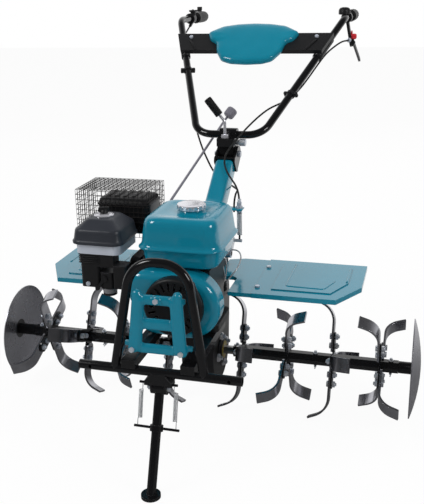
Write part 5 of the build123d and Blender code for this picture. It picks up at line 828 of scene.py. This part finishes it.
# Engine castings: crankcase with its finned barrel, head, clutch bell and carburettor,
# die cast aluminium sprayed black, and the bare cast fan.
ENGINE_BLACK = rgb(0.010, 0.010, 0.011)
CAST_GREY = rgb(0.40, 0.40, 0.42)
CAST_DULL = rgb(0.10, 0.10, 0.11)
engine_black = cast("engine_black", ENGINE_BLACK, CAST_DULL, rough=0.32)
dress(engine_black, "crankcase", "cylinder_head", "clutch_housing", "carburettor")
die_cast = bare_metal("die_cast", CAST_GREY, CAST_DULL, rough=0.42, cloud_scale=25.0, metal=0.5)
dress(die_cast, "flywheel_fan")

# Recoil starter, its handle, the choke lever and the air cleaner elbow: black moulded
# nylon with a fine spark eroded grain.
NYLON_BLACK = rgb(0.0085, 0.0085, 0.0095)
SKIN_SCALE = 900.0
FLOW_CLOUD = 22.0


def moulded(name, colour, rough, grain, shine=0.35):
    """Moulded plastic: eroded grain, slight flow clouds and soft edges with a painted highlight.
    """
    material, shader = blank(name)
    edge, rounded = edge_mask(shader, PAINT_EDGE)
    skin = noise(shader, SKIN_SCALE, 2.0)
    cloud = noise(shader, FLOW_CLOUD)
    bump = relief(shader, skin, grain, GRAIN_DEPTH, rounded)
    # The paler tone is a painted highlight along sharp edges, mixed with random flow clouds.
    pale = tuple(min(c * 1.7 + 0.003, 1.0) for c in colour)
    surface = shader.node(
        "BsdfPrincipled",
        {
            "Base Color": mixed(shader, edge * 0.5 + cloud * 0.25, colour, pale),
            "Roughness": rough + cloud * 0.08 + skin * 0.06,
            "Specular IOR Level": shine,
            "Normal": bump,
        },
    )
    close(shader, surface)
    return material


black_nylon = moulded("black_nylon", NYLON_BLACK, rough=0.34, grain=0.20)
dress(black_nylon, "recoil_cover", "starter_handle", "choke_lever", "air_cleaner_base")

# Carburettor details: cooling ribs round the elbow's neck, the bright float bowl with
# its drain screw, and the bolt that ties the elbow to the engine.
RIB_HEIGHTS = (0.524, 0.530, 0.536, 0.542, 0.548)
RIB_LOW = (-0.2965, -0.2545)
RIB_HIGH = (-0.2340, -0.1620)
RIB_THICK = 0.0032
RIB_EASE = 0.0012
BOWL_SPOT = (-0.216, -0.229)
BOWL_LEVELS = (
    (0.4210, 0.0060),
    (0.4240, 0.0065),
    (0.4245, 0.0150),
    (0.4280, 0.0195),
    (0.4420, 0.0208),
    (0.4425, 0.0228),
    (0.4470, 0.0228),
    (0.4475, 0.0200),
)
TIE_SPOT = (-0.272, -0.251, 0.462)
TIE_LEVELS = ((0, 0.0070), (0.005, 0.0070), (0.006, 0.0055))
parts = [
    eased_block(spot(*RIB_LOW, height), spot(*RIB_HIGH, height + RIB_THICK), RIB_EASE)
    for height in RIB_HEIGHTS
]
fitted(joined("elbow_ribs", parts), black_nylon, "black_plastic", "machine")
bowl = moved(turned("float_bowl", BOWL_LEVELS, 48), at(*BOWL_SPOT, 0))
fitted(bowl, die_cast, "engine_metal", "machine")
forward = Matrix.Rotation(math.radians(90), 4, "X")
tie = moved(turned("elbow_bolt", TIE_LEVELS, 6), at(*TIE_SPOT) @ forward)
fitted(tie, zinc, "zinc_steel", "machine")

# Fuel cap: a pressed cap in bright chrome, flat on top with a toothed skirt. It turns off
# the tank's neck.
CHROME = rgb(0.74, 0.735, 0.79)
CHROME_WARM = rgb(0.70, 0.70, 0.72)
CAP_TEETH = 16
TOOTH_LOW = (0.0370, -0.0036, 0.6735)
TOOTH_HIGH = (0.0408, 0.0036, 0.6850)
TOOTH_EASE = 0.0012
CAP_LEVELS = (
    (0.6730, 0.0375),
    (0.6740, 0.0388),
    (0.6825, 0.0390),
    (0.6850, 0.0402),
    (0.6868, 0.0396),
    (0.6878, 0.0370),
    (0.6880, 0.0200),
)
chrome = bare_metal("bright_chrome", CHROME, CHROME_WARM, rough=0.12, cloud_scale=12.0, metal=0.7)
parts = [turned("crown", CAP_LEVELS, 96)]
for number in range(CAP_TEETH):
    tooth = eased_block(TOOTH_LOW, TOOTH_HIGH, TOOTH_EASE)
    parts.append(moved(tooth, Matrix.Rotation(2 * math.pi * number / CAP_TEETH, 4, "Z")))
cap = moved(joined("cap_crown", parts), at(CAP_X, CAP_Y, 0))
fitted(cap, chrome, "chrome_trim", "cap", "fuel_cap")

# Air cleaner: a slate lid with steep sides, a ridge and a sloped top, held by a black
# wing knob on a bright washer, over a pale band and a foam ring.
SLATE = rgb(0.026, 0.029, 0.037)
BAND_GREY = rgb(0.42, 0.45, 0.51)
FOAM = rgb(0.06, 0.06, 0.065)
LID_MIDDLE = (-0.241, -0.181)
LID_CORNER = 0.026
LID_LEVELS = (
    (0.5820, 0.0680, 0.0740),
    (0.5790, 0.0730, 0.0790),
    (0.5805, 0.0760, 0.0815),
    (0.5870, 0.0765, 0.0820),
    (0.5895, 0.0745, 0.0800),
    (0.5930, 0.0728, 0.0785),
    (0.6120, 0.0700, 0.0757),
    (0.6180, 0.0686, 0.0745),
    (0.6215, 0.0666, 0.0725),
    (0.6235, 0.0630, 0.0690),
    (0.6420, 0.0430, 0.0490),
    (0.6450, 0.0370, 0.0440),
    (0.6465, 0.0310, 0.0380),
    (0.6470, 0.0200, 0.0260),
)
WASHER_LEVELS = (
    (0.6455, 0.0285),
    (0.6480, 0.0295),
    (0.6495, 0.0285),
    (0.6515, 0.0220),
    (0.6525, 0.0120),
)
KNOB_LEVELS = ((0.6515, 0.0115), (0.662, 0.0100), (0.664, 0.007))
KNOB_TURN = 25
WING_LOW = (-0.0155, -0.0045, 0.655)
WING_HIGH = (0.0155, 0.0045, 0.671)
WING_EASE = 0.0040
on_lid = at(*LID_MIDDLE, 0)
lid = moved(stacked("lid", LID_LEVELS, LID_CORNER), on_lid)
washer = moved(turned("lid_washer", WASHER_LEVELS, 48), on_lid)
hub = turned("hub", KNOB_LEVELS, 32)
wing = eased_block(WING_LOW, WING_HIGH, WING_EASE, 4)
knob = joined("lid_knob", (hub, wing))
moved(knob, on_lid @ Matrix.Rotation(math.radians(KNOB_TURN), 4, "Z"))
slate = moulded("slate_plastic", SLATE, rough=0.28, grain=0.12)
fitted(lid, slate, "dark_plastic", "machine", "air_cleaner_cover")
fitted(washer, chrome, "chrome_trim", "machine")
fitted(knob, black_nylon, "black_plastic", "machine")
dress(moulded("pale_plastic", BAND_GREY, rough=0.40, grain=0.10), "air_cleaner_band")
dress(moulded("filter_foam", FOAM, rough=0.85, grain=0.90), "air_filter")

# Muffler: two pressed halves crimped round a flange, with ribs pressed in the lid, in
# matt black heat paint that has begun to burn brown.
HEAT_BLACK = rgb(0.009, 0.009, 0.010)
HEAT_BROWN = rgb(0.07, 0.05, 0.04)
MUFFLER_LEVELS = (
    (0.5660, 0.0760, 0.0520),
    (0.5700, 0.0820, 0.0580),
    (0.6120, 0.0830, 0.0590),
    (0.6135, 0.0855, 0.0615),
    (0.6180, 0.0855, 0.0615),
    (0.6195, 0.0825, 0.0585),
    (0.6480, 0.0815, 0.0575),
    (0.6500, 0.0845, 0.0605),
    (0.6540, 0.0845, 0.0605),
    (0.6560, 0.0810, 0.0570),
    (0.6660, 0.0780, 0.0540),
    (0.6705, 0.0700, 0.0460),
    (0.6720, 0.0560, 0.0320),
)
MUFFLER_CORNER = 0.018
MUFFLER_RIBS = 5
MUFFLER_RIB_STEP = 0.026
MUFFLER_RIB = (0.006, 0.036)
MUFFLER_RIB_RISE = (0.668, 0.6755)
MUFFLER_RIB_EASE = 0.0035
heat_black = painted(
    "heat_black",
    HEAT_BLACK,
    HEAT_BROWN,
    rough=0.36,
    wear=0.5,
    peel=0.15,
    metal_wear=0.1,
    shine=0.3,
)
muffler_low, muffler_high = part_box("muffler")
muffler_middle = (muffler_low + muffler_high) / 2
parts = [stacked("box", MUFFLER_LEVELS, MUFFLER_CORNER)]
for number in range(MUFFLER_RIBS):
    x = (number - (MUFFLER_RIBS - 1) / 2) * MUFFLER_RIB_STEP
    low = (x - MUFFLER_RIB[0], -MUFFLER_RIB[1], MUFFLER_RIB_RISE[0])
    high = (x + MUFFLER_RIB[0], MUFFLER_RIB[1], MUFFLER_RIB_RISE[1])
    parts.append(eased_block(low, high, MUFFLER_RIB_EASE))
box = joined("muffler_box", parts)
moved(box, Matrix.Translation((muffler_middle.x, muffler_middle.y, 0)))
fitted(box, heat_black, "heat_black", "machine", "muffler")

# Muffler guard: a cage of thin wire welded in square cells and dipped in the same
# paint, that keeps hands off the hot box.
CAGE_STEP = 0.0145
CAGE_WIRE = 0.0024
cage_low, cage_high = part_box("muffler_guard")
wire_half = Vector((1, 1, 1)) * CAGE_WIRE / 2
cage_low, cage_high = cage_low + wire_half, cage_high - wire_half


def wire_panel(middle, across, up, width, height):
    """A flat grid of square cells, made as a plane and laid between two directions."""
    bpy.ops.mesh.primitive_grid_add(
        x_subdivisions=round(width / CAGE_STEP), y_subdivisions=round(height / CAGE_STEP), size=1
    )
    lay = axes(across * width, up * height, across.cross(up))
    return moved(bpy.context.object, Matrix.Translation(middle) @ lay)


cage_middle = (cage_low + cage_high) / 2
cage_size = cage_high - cage_low
middle = Vector((cage_middle.x, cage_middle.y, cage_high.z))
panels = [wire_panel(middle, EAST, NORTH, cage_size.x, cage_size.y)]
for y in (cage_low.y, cage_high.y):
    middle = Vector((cage_middle.x, y, cage_middle.z))
    panels.append(wire_panel(middle, EAST, UP, cage_size.x, cage_size.z))
for x in (cage_low.x, cage_high.x):
    middle = Vector((x, cage_middle.y, cage_middle.z))
    panels.append(wire_panel(middle, NORTH, UP, cage_size.y, cage_size.z))
cage = joined("muffler_cage", panels)
wires = cage.modifiers.new("wires", "WIREFRAME")
wires.thickness = CAGE_WIRE
wires.use_even_offset = False
bpy.ops.object.modifier_apply(modifier="wires")
fitted(cage, heat_black, "heat_black", "machine", "muffler_guard")

# Handle mount and bar: bracket, clamp and the bent tube in gloss black, and the lock
# lever, a bright bent stem on a nut with a knurled black grip.
RUBBER = rgb(0.008, 0.008, 0.008)
LOCK_X = -0.004
LOCK_Y = 0.290
LOCK_SEAT = 0.7885
LOCK_NUT = ((0, 0.013), (0.010, 0.013), (0.011, 0.011))
GRIP_LOW = spot(-0.021, LOCK_Y, 0.862)
GRIP_HIGH = spot(-0.062, LOCK_Y, 0.914)
STEM_WIRE = 0.010
STEM_ROUTE = (
    (LOCK_X, LOCK_Y, LOCK_SEAT + 0.008),
    (LOCK_X, LOCK_Y, 0.826),
    (LOCK_X, LOCK_Y, 0.841),
    (-0.012, LOCK_Y, 0.851),
)
KNURL_FIRST = ((0.0, 0.0100), (0.001, 0.0115))
KNURL = ((0, 0.0130), (0.0024, 0.0135), (0.0030, 0.0118))
KNURL_LAST = ((-0.003, 0.0130), (-0.001, 0.0115), (0.0, 0.008))
KNURL_START = 0.002
KNURL_STEP = 0.004
KNURL_STOP = 0.008
GRIP_FLUTE = 0.92


def standing(direction):
    """The turn that stands z along a direction."""
    return direction.to_track_quat("Z", "Y").to_matrix().to_4x4()


dress(gloss_black, "handle_bracket", "handle_clamp", "handlebar")
rubber = moulded("black_rubber", RUBBER, rough=0.45, grain=0.45)
stem_route = [spot(*place) for place in STEM_ROUTE]
stem_route += [GRIP_LOW, GRIP_LOW.lerp(GRIP_HIGH, 0.1)]
stem = tube("stem", stem_route, STEM_WIRE)[0]
nut = moved(turned("nut", LOCK_NUT, 6), at(LOCK_X, LOCK_Y, LOCK_SEAT))
fitted(joined("lock_stem", (stem, nut)), chrome, "chrome_trim", "lock", "lock_lever")
grip_run = GRIP_HIGH - GRIP_LOW
knurls = list(KNURL_FIRST)
height = KNURL_START
while height < grip_run.length - KNURL_STOP:
    knurls += [(height + rise, radius) for rise, radius in KNURL]
    height += KNURL_STEP
knurls += [(grip_run.length + rise, radius) for rise, radius in KNURL_LAST]
grip = turned("lock_grip", knurls, 40, GRIP_FLUTE)
moved(grip, Matrix.Translation(GRIP_LOW) @ standing(grip_run))
fitted(grip, rubber, "black_rubber", "lock")

# Console: a black moulded panel across the arms, wrapped round both tubes and creased
# towards them, under a teal gloss cover shaped like a boat.
TEAL_PLASTIC = rgb(0.004, 0.185, 0.270)
ARM_FOOT = Vector((0.110, 0.328, 0.793))
ARM_HEAD = Vector((0.311, 0.827, 1.135))
WRAP_RUN = (0.386, 0.486)
WRAP_R = 0.0165
FOLD_LOW = (-0.0035, -0.034, 0)
FOLD_HIGH = (0.0035, 0.034, 0.0036)
FOLD_EASE = 0.0015
FOLD_SPOT = (0.214, 0.420, 0.0285)
FOLD_TURN = -32
COVER_MIDDLE = 0.428
COVER_BASE = 0.024
COVER_CORNER = 0.009
COVER_PLAN = (
    (0.000, 0.098),
    (0.062, 0.094),
    (0.118, 0.082),
    (0.165, 0.050),
    (0.150, 0.014),
    (0.124, -0.004),
    (0.114, -0.050),
    (0.090, -0.092),
    (0.056, -0.106),
    (0.000, -0.110),
)
COVER_LEVELS = (
    (0.000, 0.985),
    (0.002, 1.000),
    (0.011, 0.998),
    (0.016, 0.982),
    (0.0200, 0.950),
    (0.0225, 0.905),
    (0.0250, 0.820),
    (0.0270, 0.680),
    (0.0280, 0.480),
    (0.0285, 0.240),
)
arm_rise = Vector((0, ARM_HEAD.y - ARM_FOOT.y, ARM_HEAD.z - ARM_FOOT.z))
slope = arm_rise.normalized()
arm_plane = at(0, ARM_FOOT.y, ARM_FOOT.z) @ axes(EAST, slope, EAST.cross(slope))


def arm_x(run):
    """How far an arm stands from the middle at a run up the arms."""
    return ARM_FOOT.x + (ARM_HEAD.x - ARM_FOOT.x) * run / arm_rise.length


dress(black_nylon, "console_panel", "lever_clamps", "clutch_lever", "throttle_lever")
parts = []
for side in (-1, 1):
    ends = [(side * arm_x(run), run, 0) for run in WRAP_RUN]
    parts.append(tube("wrap", ends, 2 * WRAP_R)[0])
    place = Matrix.Translation((side * FOLD_SPOT[0], *FOLD_SPOT[1:]))
    place = place @ Matrix.Rotation(math.radians(FOLD_TURN * side), 4, "Z")
    parts.append(moved(eased_block(FOLD_LOW, FOLD_HIGH, FOLD_EASE), place))
wraps = moved(joined("panel_wraps", parts), arm_plane)
fitted(wraps, black_nylon, "black_plastic", "handle")

plan = COVER_PLAN + tuple((-x, y) for x, y in reversed(COVER_PLAN[1:-1]))
outlined([(x, y, 0) for x, y in plan])
levels = [(height, wide, wide) for height, wide in COVER_LEVELS]
cover = drawn_up("console_lid", levels, COVER_CORNER, 6)
moved(cover, arm_plane @ Matrix.Translation((0, COVER_MIDDLE, COVER_BASE)))
teal_gloss = moulded("teal_gloss", TEAL_PLASTIC, rough=0.08, grain=0.02, shine=0.55)
fitted(cover, teal_gloss, "teal_plastic", "handle", "console_cover")

# Grips and levers: fluted rubber sleeves with a collar and a round end, black levers
# and the red safety catch.
CATCH_RED = rgb(0.55, 0.02, 0.03)
HAND_X = 0.311
HAND_START = 1.028
HAND_Z = 1.135
HAND_LEVELS = (
    (0.000, 0.0185),
    (0.001, 0.0225),
    (0.006, 0.0225),
    (0.009, 0.0205),
    (0.030, 0.0215),
    (0.080, 0.0225),
    (0.118, 0.0215),
    (0.128, 0.0195),
    (0.133, 0.0160),
    (0.1355, 0.0110),
    (0.136, 0.0050),
)
HAND_FLUTE = 0.955
PADDLE_LOW = (0.326, 0.897, 1.056)
PADDLE_HIGH = (0.349, 0.917, 1.076)
PADDLE_EASE = 0.006
backward = Matrix.Rotation(math.radians(-90), 4, "X")
parts = []
for side in (-1, 1):
    sleeve = turned("sleeve", HAND_LEVELS, 72, HAND_FLUTE)
    parts.append(moved(sleeve, at(side * HAND_X, HAND_START, HAND_Z) @ backward))
fitted(joined("hand_sleeves", parts), rubber, "black_rubber", "handle", "grips")
catch_red = moulded("catch_red", CATCH_RED, rough=0.22, grain=0.06)
dress(catch_red, "clutch_latch")
paddle = eased_block(spot(*PADDLE_LOW), spot(*PADDLE_HIGH), PADDLE_EASE, 4)
paddle.name = "catch_paddle"
fitted(paddle, catch_red, "red_plastic", "latch")

# Small fittings on the arms: black clips with ears that hold the cables, the round stop
# switch behind the right bend, and the zinc barrel on the end of the clutch sheath.
CLIP_SPOTS = ((-1, 0.309), (1, 0.191))
CLIP_EAR = 0.020
CLIP_EAR_HALF = (0.006, 0.009)
CLIP_EAR_RISE = (0.001, 0.012)
CLIP_EAR_EASE = 0.003
CLIP_LEVELS = (
    (0, 0.0135),
    (0.001, 0.0158),
    (0.012, 0.0158),
    (0.013, 0.0135),
)
SWITCH_LEVELS = (
    (0.000, 0.0190),
    (0.002, 0.0215),
    (0.014, 0.0215),
    (0.020, 0.0195),
    (0.024, 0.0150),
    (0.026, 0.0080),
)
SWITCH_SPOT = (0.304, 0.880, 1.146)
BARREL_SPOT = (0.3263, 0.842, 1.0565)
BARREL_LEVELS = (
    (0, 0.0050),
    (0.002, 0.0080),
    (0.018, 0.0080),
    (0.022, 0.0050),
)
parts = []
for side, run in CLIP_SPOTS:
    arm_run = ARM_HEAD - ARM_FOOT
    arm_run.x *= side
    place = arm_plane @ Vector((side * arm_x(run), run, 0))
    clip = [turned("ring", CLIP_LEVELS, 32)]
    for x in (-CLIP_EAR, CLIP_EAR):
        low = (x - CLIP_EAR_HALF[0], -CLIP_EAR_HALF[1], CLIP_EAR_RISE[0])
        high = (x + CLIP_EAR_HALF[0], CLIP_EAR_HALF[1], CLIP_EAR_RISE[1])
        clip.append(eased_block(low, high, CLIP_EAR_EASE))
    clip = joined("clip", clip)
    parts.append(moved(clip, Matrix.Translation(place) @ standing(arm_run)))
fitted(joined("cable_clips", parts), black_nylon, "black_plastic", "handle")
switch = moved(turned("stop_switch", SWITCH_LEVELS, 40), at(*SWITCH_SPOT))
fitted(switch, black_nylon, "black_plastic", "handle")
barrel = moved(turned("sheath_barrel", BARREL_LEVELS, 24), at(*BARREL_SPOT) @ backward)
fitted(barrel, zinc, "zinc_steel", "handle")

# Shift lever: a long bent steel rod with a flattened knob, in satin grey paint. It turns
# on the side of the gear case.
ROD_GREY = rgb(0.16, 0.155, 0.185)
dress(painted("rod_grey", ROD_GREY, SCUFF_GREY, rough=0.34, wear=0.4), "shift_lever")

# Control cables: black sheathed wire, from the levers down the arms, past the handle
# mount to the tab on the column.
CABLE_R = 0.003
CLUTCH_ROUTE = (
    (0.3263, 0.869, 1.0565),
    (0.3263, 0.833, 1.0565),
    (0.308, 0.800, 1.056),
    (0.288, 0.756, 1.043),
    (0.264, 0.706, 1.022),
    (0.242, 0.654, 0.988),
    (0.220, 0.598, 0.950),
    (0.197, 0.546, 0.915),
    (0.171, 0.502, 0.888),
    (0.141, 0.456, 0.876),
    (0.116, 0.412, 0.867),
    (0.094, 0.366, 0.850),
    (0.070, 0.322, 0.826),
    (0.046, 0.281, 0.797),
    (0.024, 0.258, 0.769),
    (0.008, 0.244, 0.742),
    (0.006, 0.236, 0.717),
    (0.020, 0.208, 0.699),
    (0.042, 0.174, 0.684),
    (0.067, 0.139, 0.671),
    (0.082, 0.116, 0.650),
    (0.085, 0.111, 0.622),
    (0.086, 0.110, 0.588),
    (0.086, 0.111, 0.548),
    (0.085, 0.110, 0.5055),
)
THROTTLE_ROUTE = (
    (-0.307, 0.9358, 1.1089),
    (-0.307, 0.9042, 1.0963),
    (-0.299, 0.808, 1.070),
    (-0.283, 0.766, 1.048),
    (-0.262, 0.708, 1.024),
    (-0.240, 0.652, 0.988),
    (-0.218, 0.596, 0.950),
    (-0.196, 0.542, 0.912),
    (-0.174, 0.488, 0.876),
    (-0.151, 0.434, 0.839),
    (-0.129, 0.382, 0.804),
    (-0.107, 0.342, 0.773),
    (-0.088, 0.319, 0.741),
    (-0.069, 0.308, 0.708),
    (-0.054, 0.302, 0.682),
    (-0.036, 0.300, 0.658),
    (-0.010, 0.298, 0.641),
    (0.018, 0.284, 0.632),
    (0.042, 0.252, 0.629),
    (0.056, 0.212, 0.637),
    (0.063, 0.174, 0.642),
    (0.0655, 0.140, 0.640),
    (0.066, 0.118, 0.616),
    (0.0665, 0.117, 0.590),
)
SHEATHS = (
    ("clutch_sheath", "clutch_cable", CLUTCH_ROUTE, (0, 0.235, 0.717), (0, 0.455, 0.88)),
    ("throttle_sheath", "throttle_cable", THROTTLE_ROUTE, (0, 0.300, 0.66), (0, 0.385, 0.80)),
)
for name, node, route, low, high in SHEATHS:
    sheath, followed = tube(name, [spot(*place) for place in route], 2 * CABLE_R)
    finished(sheath, rubber, "black_rubber", node)
    spot(*low)
    spot(*high)
    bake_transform(sheath)
    run = sum((Vector(b) - Vector(a)).length for a, b in zip(followed, followed[1:]))
    tuple(spot(*route[0]))

# Cable end: a zinc adjuster screwed through the tab with its lock nuts, and the bright
# return spring round the inner wire below it.
ADJUSTER = (0.0852, 0.1105)
COIL_TURNS = 22
COIL_STEPS = 8
COIL_R = 0.0072
COIL_TOP = 0.590
COIL_RUN = 0.070
COIL_WIRE = 0.0030
ADJUSTER_LEVELS = (
    (0.606, 0.0095),
    (0.612, 0.0095),
    (0.6125, 0.0055),
    (0.634, 0.0055),
    (0.635, 0.0045),
)
TAB_NUT_LEVELS = ((0.592, 0.0085), (0.599, 0.0095))
screw = turned("screw", ADJUSTER_LEVELS, 24)
under = turned("under", TAB_NUT_LEVELS, 6)
adjuster = moved(joined("cable_adjuster", (screw, under)), at(*ADJUSTER, 0))
fitted(adjuster, zinc, "zinc_steel", "machine")
turns = []
for step in range(COIL_TURNS * COIL_STEPS + 1):
    angle = 2 * math.pi * step / COIL_STEPS
    height = COIL_TOP - COIL_RUN * step / (COIL_TURNS * COIL_STEPS)
    turns.append((COIL_R * math.cos(angle), COIL_R * math.sin(angle), height))
coil = moved(tube("cable_spring", turns, COIL_WIRE)[0], at(*ADJUSTER, 0))
fitted(coil, bright_wire, "spring_steel", "machine")

# Control links: three rods bent from thick bright wire, beside the tank. Two come out of
# the case and one comes over from the clutch arm, and all end in a rubber boot.
LINK_WIRE = 0.0044
LINK_ROUTES = (
    (
        (0.050, -0.036, 0.506),
        (0.064, -0.036, 0.503),
        (0.061, -0.036, 0.482),
        (0.070, -0.036, 0.458),
        (0.073, -0.036, 0.436),
        (0.069, -0.036, 0.412),
    ),
    (
        (0.050, -0.032, 0.500),
        (0.072, -0.034, 0.499),
        (0.081, -0.036, 0.474),
        (0.079, -0.036, 0.443),
        (0.071, -0.036, 0.412),
    ),
    (
        (0.064, 0.064, 0.482),
        (0.088, 0.056, 0.490),
        (0.112, 0.026, 0.482),
        (0.112, -0.010, 0.460),
        (0.098, -0.036, 0.440),
        (0.074, -0.036, 0.410),
    ),
)
BOOT_SPOT = (0.0695, -0.036)
BOOT_LEVELS = (
    (0.386, 0.0070),
    (0.390, 0.0105),
    (0.397, 0.0110),
    (0.399, 0.0092),
    (0.401, 0.0092),
    (0.403, 0.0106),
    (0.410, 0.0100),
    (0.416, 0.0078),
)
rods = [tube("rod", [spot(*place) for place in route], LINK_WIRE)[0] for route in LINK_ROUTES]
fitted(joined("control_links", rods), bright_wire, "spring_steel", "machine")
boot = moved(turned("link_boot", BOOT_LEVELS, 48), at(*BOOT_SPOT, 0))
fitted(boot, rubber, "black_rubber", "machine")
